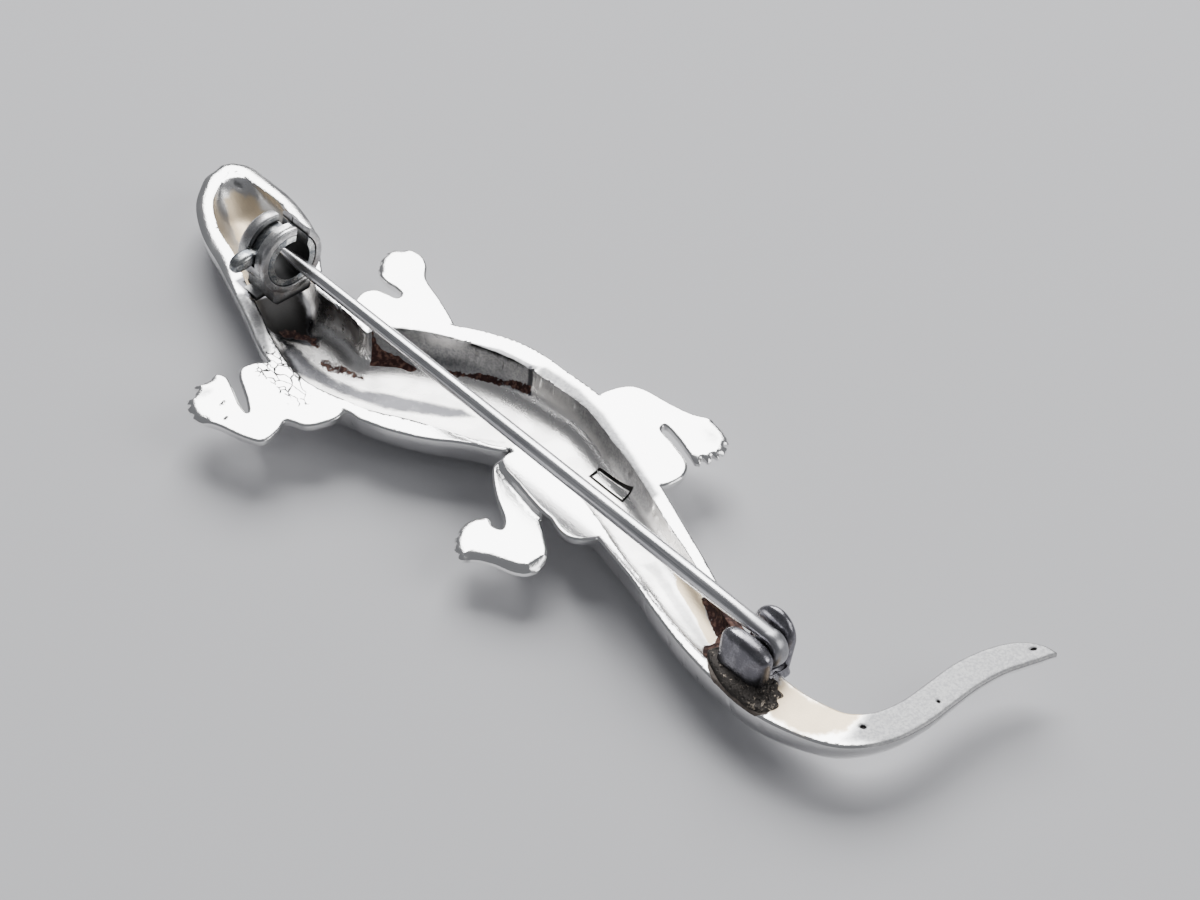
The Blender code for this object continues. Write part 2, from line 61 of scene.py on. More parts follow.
# Stations along the spine, from snout to tail tip. x is a share of the length, y of the span,
# half of half the body width, relief and hollow of their depths, rims of the rim width.
SPINE = (
    # x, y, half, relief, rim_left, rim_right, hollow
    (0.857, -0.171, 0.07, 0.2, 0.02, 0.02, 0),
    (0.846, -0.16, 0.26, 0.52, 1.5, 1.5, 0),
    (0.826, -0.133, 0.42, 0.8, 1.6, 1.5, 0.42),
    (0.8, -0.102, 0.56, 0.96, 1.3, 1.3, 0.72),
    (0.76, -0.067, 0.65, 1, 1.3, 1.05, 0.84),
    (0.72, -0.034, 0.65, 1, 1.4, 0.9, 0.9),
    (0.68, 0.018, 0.58, 1, 1.2, 0.8, 0.93),
    (0.64, 0.064, 0.53, 1, 1.1, 0.65, 0.95),
    (0.59, 0.087, 0.66, 1, 1.15, 0.75, 1),
    (0.54, 0.094, 0.71, 1, 0.9, 1, 1),
    (0.5, 0.03, 0.92, 1, 1.1, 1.15, 1),
    (0.46, -0.033, 1, 1, 1.5, 1.5, 1),
    (0.42, -0.096, 0.97, 1, 1.05, 1.9, 1),
    (0.38, -0.133, 0.84, 1, 0.5, 1.8, 0.95),
    (0.34, -0.158, 0.7, 1, 0.5, 1.6, 0.9),
    (0.3, -0.13, 0.64, 1, 1, 1.2, 0.86),
    (0.26, -0.113, 0.57, 1, 1.2, 1, 0.82),
    (0.22, -0.09, 0.52, 1, 1, 1.05, 0.76),
    (0.18, -0.061, 0.475, 1, 0.65, 1, 0.7),
    (0.14, -0.031, 0.435, 1, 0.55, 0.85, 0.62),
    (0.1, 0.005, 0.405, 1, 0.6, 0.8, 0.54),
    (0.06, 0.038, 0.365, 0.96, 0.7, 0.72, 0.38),
    (0.02, 0.059, 0.335, 0.85, 0.8, 0.8, 0.12),
    (-0.022, 0.071, 0.3, 0.74, 0.8, 0.8, 0),
    (-0.058, 0.055, 0.27, 0.64, 0.8, 0.8, 0),
    (-0.09, 0.018, 0.24, 0.54, 0.7, 0.7, 0),
    (-0.108, -0.05, 0.215, 0.46, 0.6, 0.6, 0),
    (-0.115, -0.135, 0.2, 0.4, 0.6, 0.6, 0),
    (-0.115, -0.225, 0.196, 0.36, 0.6, 0.6, 0),
    (-0.115, -0.31, 0.196, 0.33, 0.6, 0.6, 0),
    (-0.12, -0.39, 0.185, 0.3, 0.5, 0.5, 0),
    (-0.129, -0.45, 0.165, 0.27, 0.5, 0.5, 0),
    (-0.139, -0.486, 0.105, 0.2, 0.3, 0.3, 0),
    (-0.148, -0.506, 0.02, 0.1, 0.01, 0.01, 0),
)

# Leg outlines: shares of the leg's reach from a root in shares of length and span.
FRONT_LEFT = (
    (-0.48, 0.22), (-0.46, 0.37), (-0.41, 0.46), (-0.28, 0.53), (-0.32, 0.62),
    (-0.34, 0.77), (-0.22, 0.84), (-0.02, 0.90), (0.14, 0.97), (0.24, 0.96),
    (0.34, 0.91), (0.38, 0.82), (0.44, 0.77), (0.42, 0.69), (0.42, 0.60),
    (0.36, 0.57), (0.25, 0.60), (0.05, 0.67), (-0.04, 0.675), (0.05, 0.615),
    (0.17, 0.56), (0.30, 0.50), (0.36, 0.44), (0.35, 0.34), (0.29, 0.25),
    (0.20, 0.05), (-0.25, -0.05),
)
FRONT_RIGHT = (
    (0.30, 0.19), (0.365, 0.10), (0.385, 0.01), (0.345, -0.06), (0.265, -0.09),
    (0.175, -0.12), (0.185, -0.16), (0.275, -0.175), (0.365, -0.165), (0.455, -0.18),
    (0.545, -0.23), (0.625, -0.33), (0.645, -0.43), (0.575, -0.51), (0.445, -0.545),
    (0.325, -0.50), (0.215, -0.41), (-0.055, -0.33), (-0.335, -0.23), (-0.465, -0.14),
    (-0.42, 0.08), (-0.12, 0.30), (0.12, 0.33),
)
REAR_RIGHT = (
    (0.47, -0.03), (0.46, -0.15), (0.40, -0.27), (0.31, -0.32), (0.06, -0.36),
    (-0.10, -0.40), (-0.22, -0.46), (-0.34, -0.45), (-0.44, -0.41), (-0.50, -0.33),
    (-0.52, -0.24), (-0.50, -0.16), (-0.46, -0.095), (-0.36, -0.115), (-0.20, -0.16),
    (-0.06, -0.175), (-0.07, -0.135), (-0.24, -0.095), (-0.44, -0.03), (-0.505, 0.06),
    (-0.51, 0.15), (-0.48, 0.24), (-0.30, 0.35), (0.35, 0.20),
)
REAR_LEFT_SHIN = (
    (-0.07, 0.19), (-0.21, 0.29), (-0.33, 0.37), (-0.39, 0.45), (-0.39, 0.55),
    (-0.34, 0.62), (-0.15, 0.70), (-0.05, 0.77), (-0.01, 0.825), (0.09, 0.80),
    (0.16, 0.74), (0.21, 0.66), (0.23, 0.57), (0.22, 0.50), (0.16, 0.46),
    (0.08, 0.485), (0.02, 0.46), (0.07, 0.40), (0.27, 0.30), (0.40, 0.22),
    (0.48, 0.15), (0.50, 0.06), (0.42, -0.15), (-0.08, -0.10),
)
REAR_LEFT_THIGH = (
    (-0.50, 0.06), (-0.46, 0.15), (-0.38, 0.215), (-0.28, 0.225), (-0.16, 0.195),
    (-0.05, 0.19), (0.20, 0.15), (0.475, 0.085), (0.50, -0.04), (0.38, -0.25),
    (-0.32, -0.25),
)

# The pin's stem: shares of its reach, and of its diameter
PIN_TAPER = (
    # along, width
    (0.000, 0.88), (0.10, 1.00), (0.50, 0.93), (0.90, 0.82), (0.945, 0.79),
    (0.970, 0.62), (0.988, 0.36), (1.000, 0.06),
)


class Field(Enum):
    """Names of the soft masks that a mesh carries for its finish; the lip and recess masks paint shade, the
    patina and satin masks partly.
    """

    HOLLOW = "hollow"
    TARNISH = "tarnish"
    BLOOM = "bloom"
    SOIL = "soil"
    CRACKLE = "crackle"
    PIT = "pit"
    PATINA = "patina"
    LIP = "lip"
    SATIN = "satin"
    RECESS = "recess"


class Side(Enum):
    """Which way from the pin's line a piece of the hinge stands."""

    LEFT = 1
    RIGHT = -1


@dataclass(frozen=True)
class Leg:
    """One leg's outline with the toes nicked into its foot.

    Attributes:
        root: shares of length and span.
        outline: shares of the leg's reach from the root.
        toes: index range of the outline that is the foot's ragged end.
        nicks: index along the outline, width and depth in mm of each gap between toes.
    """

    root: tuple[float, float]
    outline: Plan
    toes: tuple[float, float] = (0.0, 0.0)
    nicks: tuple[tuple[float, float, float], ...] = ()


@dataclass(frozen=True)
class Spot:
    """A soft oval on the back: its middle and half sizes in mm, its turn and its strength."""

    x: float
    y: float
    long: float
    wide: float
    turn_deg: float = 0.0
    strength: float = 1.0

    def axes(self) -> Array:
        """Unit vectors along and across the spot, as rows."""
        turn = math.radians(self.turn_deg)
        return np.array([[math.cos(turn), math.sin(turn)], [-math.sin(turn), math.cos(turn)]])

    def local(self, points: Array) -> Array:
        """Distances of plan points along and across the spot, as two rows."""
        return self.axes() @ (points - (self.x, self.y)).T

    def spread(self, along: Array, across: Array) -> Array:
        """Plan points at shares of the half length and the half width."""
        shares = np.column_stack([along.ravel() * self.long, across.ravel() * self.wide])
        return (self.x, self.y) + shares @ self.axes()

    def at(self, points: Array) -> Array:
        """Bell curve over the plan points, exp of minus the squared scaled distance."""
        along, across = self.local(points)
        return self.strength * np.exp(-((along / self.long) ** 2) - (across / self.wide) ** 2)


@dataclass(frozen=True)
class Patch:
    """A stain or a patch of painted shade with a given outline on the back, with its edge's softness, all
    in mm.
    """

    outline: Plan
    soft: float = 0.3
    strength: float = 1.0

    def at(self, points: Array) -> Array:
        """Half plus the signed distance to the outline over its softness, from 0 to 1."""
        ring = np.asarray(self.outline, float)
        following = np.roll(ring, -1, axis=0)
        away = nearest_on_lines(points, ring, following)[0]
        x, y = points[:, 0:1], points[:, 1:2]
        slope = (following[:, 0] - ring[:, 0]) / (following[:, 1] - ring[:, 1] + 1e-12)
        crosses = ((ring[:, 1] > y) != (following[:, 1] > y)) & (x < ring[:, 0] + (y - ring[:, 1]) * slope)
        within = crosses.sum(1) % 2 == 1
        return self.strength * np.clip(0.5 + np.where(within, away, -away) / self.soft, 0, 1)


@dataclass(frozen=True)
class Streak:
    """A stain or a band of painted shade along a given line on the back, fading within its width, all in
    mm.
    """

    line: Plan
    wide: float = 0.3
    strength: float = 1.0

    def at(self, points: Array) -> Array:
        """Bell curve of the distance to the line, exp of minus its square over the width's."""
        row = np.asarray(self.line, float)
        away = nearest_on_lines(points, row[:-1], row[1:])[0]
        return self.strength * np.exp(-((away / self.wide) ** 2))


LEGS = (
    Leg((0.540, 0.145), FRONT_LEFT, (7.8, 13.2), (
        (8.7, 0.20, 0.16), (9.6, 0.16, 0.22), (10.5, 0.20, 0.25), (11.3, 0.18, 0.18), (12.3, 0.22, 0.20))),
    Leg((0.550, -0.120), FRONT_RIGHT, (9.6, 12.9), (
        (10.4, 0.22, 0.14), (11.2, 0.20, 0.22), (11.8, 0.18, 0.18), (12.5, 0.20, 0.16))),
    Leg((0.280, -0.290), REAR_RIGHT, (6.4, 12.2), (
        (8.55, 0.16, 0.30), (9.65, 0.18, 0.18), (10.35, 0.20, 0.42), (11.3, 0.20, 0.40))),
    Leg((0.270, 0.000), REAR_LEFT_THIGH),
    Leg((0.270, 0.000), REAR_LEFT_SHIN, (8.0, 13.4), (
        (8.6, 0.18, 0.14), (9.5, 0.15, 0.12), (10.4, 0.20, 0.15), (12.4, 0.16, 0.15), (13.1, 0.16, 0.20))),
)
PITS = (
    Spot(-7.4, -0.6, 0.20, 0.14, 30), Spot(-6.9, -2.6, 0.09, 0.09), Spot(-9.0, -5.5, 0.12, 0.08),
    Spot(61.5, -3.95, 0.45, 0.24, 30), Spot(42.0, 11.5, 0.22, 0.05, 110),
    Spot(40.6, 12.2, 0.16, 0.05, 110), Spot(27.0, -8.9, 0.08, 0.08), Spot(-9.9, -13.1, 0.20, 0.10, 60),
)
# Stains and painted shade on the back, by mask, in mm from the hinge; the lip masks are painted shade, the
# patina and satin masks partly.
STAINS = {
    Field.TARNISH: (
        Patch(((41.3, -0.9), (39.9, -1.8), (38.2, -2.4), (38.2, -1.9), (39.3, -1.4), (40.7, 0.0)), 0.2),
        Patch(((48.6, 2.7), (47.8, 1.4), (46.1, 0.7), (44.8, 0.8), (44.8, 1.6), (46.2, 1.8),
               (47.2, 2.7)), 0.6, 0.58),
        Patch(((44.1, 1.8), (43.1, 1.2), (41.7, 1.0), (40.6, 0.7), (39.6, 0.8), (40.4, 1.5), (41.8, 2.1),
               (42.2, 2.5), (43.5, 2.4)), 0.35, 0.52),
        Patch(((36.8, -3.6), (34.5, -5.1), (31.9, -6.2), (30.4, -6.5), (30.3, -6.1), (31.8, -5.7),
               (34.2, -4.7), (36.3, -3.3)), 0.22, 0.64),
        Patch(((7.9, -1.4), (6.6, -1.5), (2.5, -1.2), (2.4, 0.2), (3.0, 1.4), (4.1, 0.9), (4.5, 0.4),
               (5.9, -0.3)), 0.35, 0.74),
        Patch(((4.7, 1.5), (4.1, 0.9), (3.0, 1.3), (2.2, 2.2), (3.4, 2.5)), 0.3, 0.7),
    ),
    Field.BLOOM: (
        Patch(((61.6, -3.3), (60.3, -4.2), (57.5, -4.2), (54.0, -3.6), (53.8, -0.4), (57.0, -0.7),
               (59.9, -1.6), (61.3, -2.3)), 0.9, 1.0),
        Patch(((10.9, -1.9), (7.9, -1.5), (6.1, -0.4), (4.4, 0.4), (4.1, 1.2), (7.1, -0.2),
               (9.6, -1.1)), 0.3, 1.3),
        Patch(((-2.2, 2.9), (-3.4, 3.0), (-5.6, 2.5), (-7.0, 0.6), (-6.6, -1.4), (-5.6, -0.8),
               (-4.2, 0.2), (-1.4, 0.4)), 1.4, 1.1),
    ),
    # Grey satin finish, partly painted shade: the grey down the hollow's right wall.
    Field.SATIN: (
        Patch(((-7.4, 1.0), (-6.6, -2.0), (-6.6, -10.0), (-8.0, -14.5), (-12.5, -15.0), (-11.0, -4.0),
               (-9.6, -0.5)), 1.6),
        Patch(((13.2, -0.8), (11.8, -0.8), (7.7, 0.6), (4.3, 1.7), (4.1, 1.1), (7.3, -0.2),
               (10.4, -1.2), (12.6, -1.9)), 0.4, 0.5),
        Patch(((41.9, -1.2), (39.2, -3.3), (33.7, -6.4), (30.6, -7.1), (30.6, -6.0), (34.6, -4.9),
               (38.0, -2.6), (41.2, -0.4)), 0.3),
        Patch(((50.0, -2.6), (45.4, -1.2), (43.6, -0.6), (43.6, 0.2), (45.2, 0.8), (46.6, 1.0),
               (48.6, -0.6)), 0.5, 0.30),
        Streak(((30.0, -7.1), (27.0, -7.3), (24.0, -6.9), (20.5, -5.9), (16.0, -4.5)), 0.55),
        Streak(((50.4, 3.9), (48.2, 4.4), (46.4, 5.1), (44.4, 6.2)), 0.5),
        Patch(((62.4, -3.4), (61.4, -4.6), (58.0, -5.0), (54.0, -5.2), (51.5, -3.4), (51.5, 2.2),
               (55.9, 1.1), (58.8, 0.3), (61.4, -1.2), (62.4, -2.4)), 0.3, 0.34),
    ),
    Field.SOIL: (
        Patch(((3.4, 2.2), (2.2, 3.2), (1.2, 3.7), (-0.7, 3.9), (-2.3, 3.8), (-2.9, 3.1), (-2.4, 1.8),
               (1.0, 1.4)), 0.4, 1.2),
        Spot(49.7, 3.3, 0.45, 0.35, 60, 0.9),
    ),
    # Grey patina, and painted shade: a near-black zone under the catch and grey bands down the hollow's
    # walls; negative patches take it away.
    Field.PATINA: (
        Patch(((52.0, -1.6), (52.0, 3.0), (50.4, 3.2), (49.0, 3.3), (47.6, 2.2), (46.6, 1.2), (46.9, 0.4),
               (48.6, -0.6)), 0.9, 1.0),
        Patch(((50.4, 3.4), (48.3, 3.3), (47.0, 3.2), (46.4, 2.2), (45.3, 1.6), (45.5, 0.6),
               (48.0, 1.6)), 0.7, 0.7),
        Patch(((45.9, 3.9), (46.9, 2.7), (46.0, 2.2), (43.9, 2.6), (41.4, 2.4), (39.4, 1.7), (38.0, 0.6),
               (35.0, -1.2), (33.1, -2.4), (31.8, -2.5), (33.2, -0.9), (36.5, 1.7), (39.6, 3.0),
               (42.4, 3.8), (44.0, 4.5)), 0.5, 0.48),
        Patch(((39.3, -2.9), (36.1, -4.9), (33.7, -6.0), (31.6, -6.5), (32.2, -6.1), (34.5, -5.2),
               (37.3, -3.4), (38.4, -2.6)), 0.35, 0.26),
        Streak(((31.0, -6.7), (30.7, -6.5), (30.3, -6.1)), 0.10, 0.8),
        Streak(((29.4, -7.0), (27.0, -7.2), (24.0, -6.8), (20.5, -5.8), (16.5, -4.6)), 0.4, 0.20),
        Patch(((47.3, 2.8), (46.6, 2.4), (45.8, 1.9), (44.3, 1.9), (43.6, 1.5), (42.5, 0.8), (42.6, 1.2),
               (43.5, 1.8), (44.2, 2.3), (45.8, 2.3)), 0.2, -0.9),
        Patch(((45.7, 0.1), (44.7, -0.1), (43.1, 0.1), (43.9, 0.5), (45.1, 0.5)), 0.3, -0.9),
        Patch(((62.1, -3.9), (61.5, -4.2), (61.0, -4.0), (61.5, -3.6), (61.9, -3.5)), 0.3, 0.34),
        Streak(((50.0, 4.0), (48.2, 4.4), (46.4, 5.1), (44.4, 6.2)), 0.50, 0.24),
        Streak(((36.0, 3.4), (33.0, 1.4), (30.5, -0.6), (28.5, -2.2)), 0.22, 0.30),
        Spot(43.6, 11.8, 0.9, 0.5, 100, 0.34), Spot(17.6, -11.4, 0.8, 1.3, 60, 0.26),
    ),
    # Painted shade: black lines along the hollow's edges, just under the rim.
    Field.LIP: (
        Streak(((49.5, 3.3), (47.5, 3.9), (45.6, 4.8), (43.5, 5.7), (41.8, 6.0), (40.5, 6.0), (38.6, 5.7),
                (36.8, 5.0), (34.7, 4.1), (32.5, 2.9)), 1.0, 1.0),
        Streak(((39.8, -2.2), (38.3, -3.0), (36.5, -4.5), (34.6, -5.6), (33.0, -6.2), (31.8, -6.6)),
               0.9, 0.72),
    ),
    Field.CRACKLE: (Spot(41.4, 6.6, 3.2, 1.1, 168), Spot(43.0, 6.6, 1.2, 1.0, 90, 0.6)),
}
# Places of the rear left thigh and shin among the outlines, which begin with the body.
THIGH, SHIN = 4, 5


def ramp(value: Array, start: float, width: float) -> Array:
    """0 up to the start and 1 from a width further on, straight between."""
    return np.clip((value - start) / width, 0, 1)


def slope_down(value: Array, end: float, width: float) -> Array:
    """1 up to a width before the end and 0 beyond the end, straight between."""
    return np.clip((end - value) / width, 0, 1)


def fade(away: Array, reach: float) -> Array:
    """1 at no distance, falling straight to 0 at the reach."""
    return np.clip(1 - away / reach, 0, 1)


def squared(angle: Array, power: float) -> tuple[Array, Array]:
    """Cosine and sine to a power with their signs kept; below 1 it squares a circle."""
    cut, rise = np.cos(angle), np.sin(angle)
    return np.sign(cut) * np.abs(cut) ** power, np.sign(rise) * np.abs(rise) ** power


def round_turn(count: int) -> Array:
    """Equal steps once round a circle, in radians."""
    return np.linspace(0, 2 * math.pi, count, endpoint=False)


def smooth_rows(rows: Array, steps: int, closed: bool = False) -> Array:
    """Rows read off a smooth curve through every given row.

    Cubic Hermite pieces whose knots are spaced by the root of the chord.

    Args:
        rows: given rows, the first two columns being plan places.
        steps: pieces between each pair of rows.
        closed: whether the last row joins the first.

    Returns:
        The dense rows.
    """
    points = np.asarray(rows, float)
    if closed:
        ring = np.vstack([points[-1:], points, points[:2]])
    else:
        ring = np.vstack([2 * points[0] - points[1], points, 2 * points[-1] - points[-2]])
    gap = np.sqrt(np.linalg.norm(np.diff(ring[:, :2], axis=0), axis=1))[:, None] + 1e-9
    slope = np.diff(ring, axis=0) / gap
    before, after = gap[:-1], gap[1:]
    tangent = (slope[:-1] * after + slope[1:] * before) / (before + after)
    spans = len(points) if closed else len(points) - 1
    share = (np.arange(steps) / steps)[None, :, None]
    start, end = ring[1:spans + 1, None], ring[2:spans + 2, None]
    width = gap[1:spans + 1, None]
    curve = (
        (2 * share ** 3 - 3 * share ** 2 + 1) * start
        + (share ** 3 - 2 * share ** 2 + share) * (tangent[:spans, None] * width)
        + (3 * share ** 2 - 2 * share ** 3) * end
        + (share ** 3 - share ** 2) * (tangent[1:spans + 1, None] * width)
    ).reshape(-1, points.shape[1])
    return curve if closed else np.vstack([curve, points[-1:]])


def nearest_on_lines(points: Array, starts: Array, ends: Array) -> tuple[Array, Array, Array]:
    """Distance from each point to the nearest of many line pieces.

    The foot of the perpendicular, kept between the two ends, for a batch of points at a time.

    Args:
        points: plan points.
        starts: first ends of the pieces.
        ends: last ends of the pieces.

    Returns:
        The distance, the index of the piece, and the share along it.
    """
    batch = 2000
    along = ends - starts
    size = np.maximum((along ** 2).sum(1), 1e-12)
    found = []
    for first in range(0, len(points), batch):
        offset = points[first:first + batch, None] - starts
        share = np.clip((offset * along).sum(2) / size, 0, 1)
        reach = np.linalg.norm(offset - share[:, :, None] * along, axis=2)
        best = reach.argmin(1)
        row = np.arange(len(best))
        found.append(np.column_stack([reach[row, best], best, share[row, best]]))
    away, piece, share = np.vstack(found).T
    return away, piece.astype(int), share


def signed_area(ring: Array) -> float:
    """Twice a closed outline's area, positive where it runs anticlockwise."""
    following = np.roll(ring, -1, axis=0)
    return np.sum(ring[:, 0] * following[:, 1] - following[:, 0] * ring[:, 1])


def left_normals(ring: Array) -> Array:
    """Unit vectors to the left of a closed outline, across the line between neighbours."""
    step = np.roll(ring, -1, axis=0) - np.roll(ring, 1, axis=0)
    step /= np.maximum(np.linalg.norm(step, axis=1), 1e-9)[:, None]
    return np.column_stack([-step[:, 1], step[:, 0]])


def ripple(points: Array, scale: float, seed: int) -> Array:
    """Smooth random height from -1 to 1: a sum of plane waves in seeded directions."""
    waves = 9
    source = np.random.default_rng(seed)
    turn = source.uniform(0, 2 * math.pi, waves)
    size = source.uniform(0.7, 1.9, waves) * 2 * math.pi / scale
    phase = source.uniform(0, 2 * math.pi, waves)
    wave = np.stack([np.cos(turn) * size, np.sin(turn) * size])
    return np.sin(points @ wave + phase).sum(1) / (waves / 2)


def place_in_frame() -> Vector:
    """The shift in mm from plans drawn at the hinge to the CAD frame."""
    roll = next(j for j in frame["joints"] if j["name"] == "catch_roll")
    drum = Catch()
    middle = Vector((drum.first + drum.length / 2, *drum.centre))
    return Vector(roll["pos_m"]) / MM - middle


def make_piece(name: str, verts: Array, faces: list, body: str, crease_deg: float,
               masks: dict[Field, Array] | None = None, merge: float = 1e-7) -> Thing:
    """A mesh object at the origin that rides on a body, its faces turned outwards.

    Args:
        name: the piece's name.
        verts: corners in mm, drawn from the hinge.
        faces: corner indices of each face.
        body: the CAD body it rides on.
        crease_deg: edges that turn more than this stay sharp.
        masks: a value for each corner, by mask.
        merge: corners closer than this become one, in metres.

    Returns:
        The object.
    """
    mesh = bpy.data.meshes.new(name)
    spots = (np.asarray(verts, float) + np.array(place_in_frame())) * MM
    mesh.from_pydata(spots.tolist(), [], faces)
    mesh.update()
    made = bpy.data.objects.new(name, mesh)
    bpy.context.scene.collection.objects.link(made)
    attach(made, body)
    for mask, values in (masks or {}).items():
        layer = mesh.attributes.new(mask.value, "FLOAT", "POINT")
        layer.data.foreach_set("value", np.asarray(values, np.float32))
    work = bmesh.new()
    work.from_mesh(mesh)
    bmesh.ops.remove_doubles(work, verts=work.verts, dist=merge)
    loose = [v for v in work.verts if not v.link_faces]
    bmesh.ops.delete(work, geom=loose, context="VERTS")
    bmesh.ops.recalc_face_normals(work, faces=work.faces)
    work.to_mesh(mesh)
    work.free()
    mesh.shade_smooth()
    mesh.set_sharp_from_angle(angle=math.radians(crease_deg))
    return made


def round_edges(piece: Thing, width: float) -> None:
    """A live bevel on the sharp edges, width in mm."""
    bevel = piece.modifiers.new("rounded edges", "BEVEL")
    bevel.limit_method = "ANGLE"
    bevel.angle_limit = math.radians(38)
    bevel.width = width * MM
    bevel.segments = 2
    bevel.harden_normals = True


def ring_faces(rows: int, cols: int, first: int = 0, closed: bool = False) -> list:
    """Quads between rings of corners, the last ring joined to the first if closed."""
    i, j = np.meshgrid(np.arange(rows if closed else rows - 1), np.arange(cols), indexing="ij")
    k, n = (j + 1) % cols, (i + 1) % rows
    quads = np.stack([i * cols + j, i * cols + k, n * cols + k, n * cols + j], axis=-1)
    return (quads.reshape(-1, 4) + first).tolist()


def capped_tube(rings: Array, first: int = 0) -> tuple[Array, list]:
    """Corners and faces of a tube through equal rings, closed at both ends."""
    rows, cols = rings.shape[:2]
    faces = ring_faces(rows, cols, first)
    faces.append([first + j for j in reversed(range(cols))])
    faces.append([first + (rows - 1) * cols + j for j in range(cols)])
    return rings.reshape(-1, 3), faces


def windowed_shell(x: Array, walls: tuple, solid: Array, centre: tuple) -> tuple[Array, list]:
    """A wall between two tubes round the X axis, with cells left out as windows.

    A corner lies at its x and at radius times (cos, sin) of its turn from +Y to +Z.

    Args:
        x: places along the axis, one per row.
        walls: radius by row and turns by row and column, of the outer and the inner wall.
        solid: which cells have metal, one fewer in rows and columns.
        centre: the axis's place in Y and Z.

    Returns:
        Corners in mm, the outer wall's first, and faces.
    """
    corners = []
    for radius, turn in walls:
        y = centre[0] + radius[:, None] * np.cos(turn)
        z = centre[1] + radius[:, None] * np.sin(turn)
        corners.append(np.stack([np.broadcast_to(x[:, None], y.shape), y, z], -1).reshape(-1, 3))
    index = np.arange(len(corners[0])).reshape(turn.shape)
    cell = np.stack([index[:-1, :-1], index[:-1, 1:], index[1:, 1:], index[1:, :-1]], -1)
    faces = [cell[solid], cell[solid][:, ::-1] + index.size]
    padded = np.pad(solid, 1)
    across = padded[1:, 1:-1] != padded[:-1, 1:-1]
    along = padded[1:-1, 1:] != padded[1:-1, :-1]
    for low, high in ((index[:, :-1][across], index[:, 1:][across]), (index[:-1][along], index[1:][along])):
        faces.append(np.stack([low, high, high + index.size, low + index.size], -1))
    return np.vstack(corners), np.vstack(faces).tolist()


def dimmed(colour: tuple, share: float) -> tuple:
    """A colour times a share."""
    return tuple(share * c for c in colour)


@dataclass
class Graph:
    """A short hand for writing a metal's nodes."""

    name: str

    def __post_init__(self) -> None:
        """Start a node material and its metal shader."""
        self.material = bpy.data.materials.new(self.name)
        self.material.use_nodes = True
        self.shader = self.material.node_tree.nodes["Principled BSDF"]
        self.shader.inputs["Metallic"].default_value = 1.0

    def add(self, kind: str, **values: object) -> bpy.types.Node:
        """A node with its settings; keys that begin with in_ are input sockets.

        Args:
            kind: the node's type without its ShaderNode prefix.
            values: settings, or sockets by name with spaces as underscores.

        Returns:
            The node.
        """
        node = self.material.node_tree.nodes.new("ShaderNode" + kind)
        for key, value in values.items():
            if key.startswith("in_"):
                self.feed(node.inputs[key[3:].replace("_", " ")], value)
            else:
                setattr(node, key, value)
        return node

    def feed(self, socket: Socket, value: object) -> None:
        """Link a socket to another, or set its constant."""
        if isinstance(value, Socket):
            self.material.node_tree.links.new(value, socket)
        else:
            socket.default_value = value

    def surface(self, **values: object) -> bpy.types.Material:
        """Feed the metal shader by socket name, and give the finished material."""
        for key, value in values.items():
            self.feed(self.shader.inputs[key.replace("_", " ")], value)
        return self.material

    def spots(self) -> Socket:
        """Object coordinates in metres."""
        return self.add("TexCoord").outputs["Object"]

    def noise(self, size_mm: float, detail: float = 3.0, stretch: tuple = (1, 1, 1),
              rough: float = 0.55) -> Socket:
        """Cloudy noise of a given grain size, 0 to 1, stretched by a mapping."""
        place = self.add("Mapping", in_Vector=self.spots(), in_Scale=stretch)
        cloud = self.add("TexNoise", in_Vector=place.outputs[0], in_Scale=1 / (size_mm * MM),
                         in_Detail=detail, in_Roughness=rough)
        return cloud.outputs[0]

    def math(self, operation: str, a: object, b: object) -> Socket:
        """One arithmetic step."""
        node = self.add("Math", operation=operation)
        self.feed(node.inputs[0], a)
        self.feed(node.inputs[1], b)
        return node.outputs[0]

    def plus(self, a: object, b: object) -> Socket:
        """A sum."""
        return self.math("ADD", a, b)

    def times(self, a: object, b: object) -> Socket:
        """A product."""
        return self.math("MULTIPLY", a, b)

    def most(self, a: object, b: object) -> Socket:
        """The greater of two."""
        return self.math("MAXIMUM", a, b)

    def centred(self, cloud: Socket) -> Socket:
        """Noise about nothing: less a half."""
        return self.math("SUBTRACT", cloud, 0.5)

    def band(self, value: object, low: float, high: float, to_low: float = 0.0,
             to_high: float = 1.0) -> Socket:
        """A value taken from one range to another, held at the ends."""
        node = self.add("MapRange", interpolation_type="SMOOTHSTEP", in_Value=value, in_From_Min=low,
                        in_From_Max=high, in_To_Min=to_low, in_To_Max=to_high)
        return node.outputs[0]

    def mix(self, share: object, a: object, b: object) -> Socket:
        """Two colours by a share."""
        node = self.add("Mix", data_type="RGBA")
        self.feed(node.inputs[0], share)
        self.feed(node.inputs[6], a if isinstance(a, Socket) else (*a, 1.0))
        self.feed(node.inputs[7], b if isinstance(b, Socket) else (*b, 1.0))
        return node.outputs[2]

    def blend(self, share: object, a: object, b: object) -> Socket:
        """Two numbers by a share."""
        node = self.add("Mix", data_type="FLOAT")
        for place, value in ((0, share), (2, a), (3, b)):
            self.feed(node.inputs[place], value)
        return node.outputs[0]

    def mask(self, name: Field) -> Socket:
        """One of the mesh's own masks."""
        return self.add("Attribute", attribute_name=name.value).outputs["Fac"]

    def bump(self, height: object, depth_mm: float, **under: Socket) -> Socket:
        """A bump from a height, over another given as in_Normal."""
        return self.add("Bump", in_Height=height, in_Distance=depth_mm * MM, in_Strength=1.0,
                        **under).outputs[0]


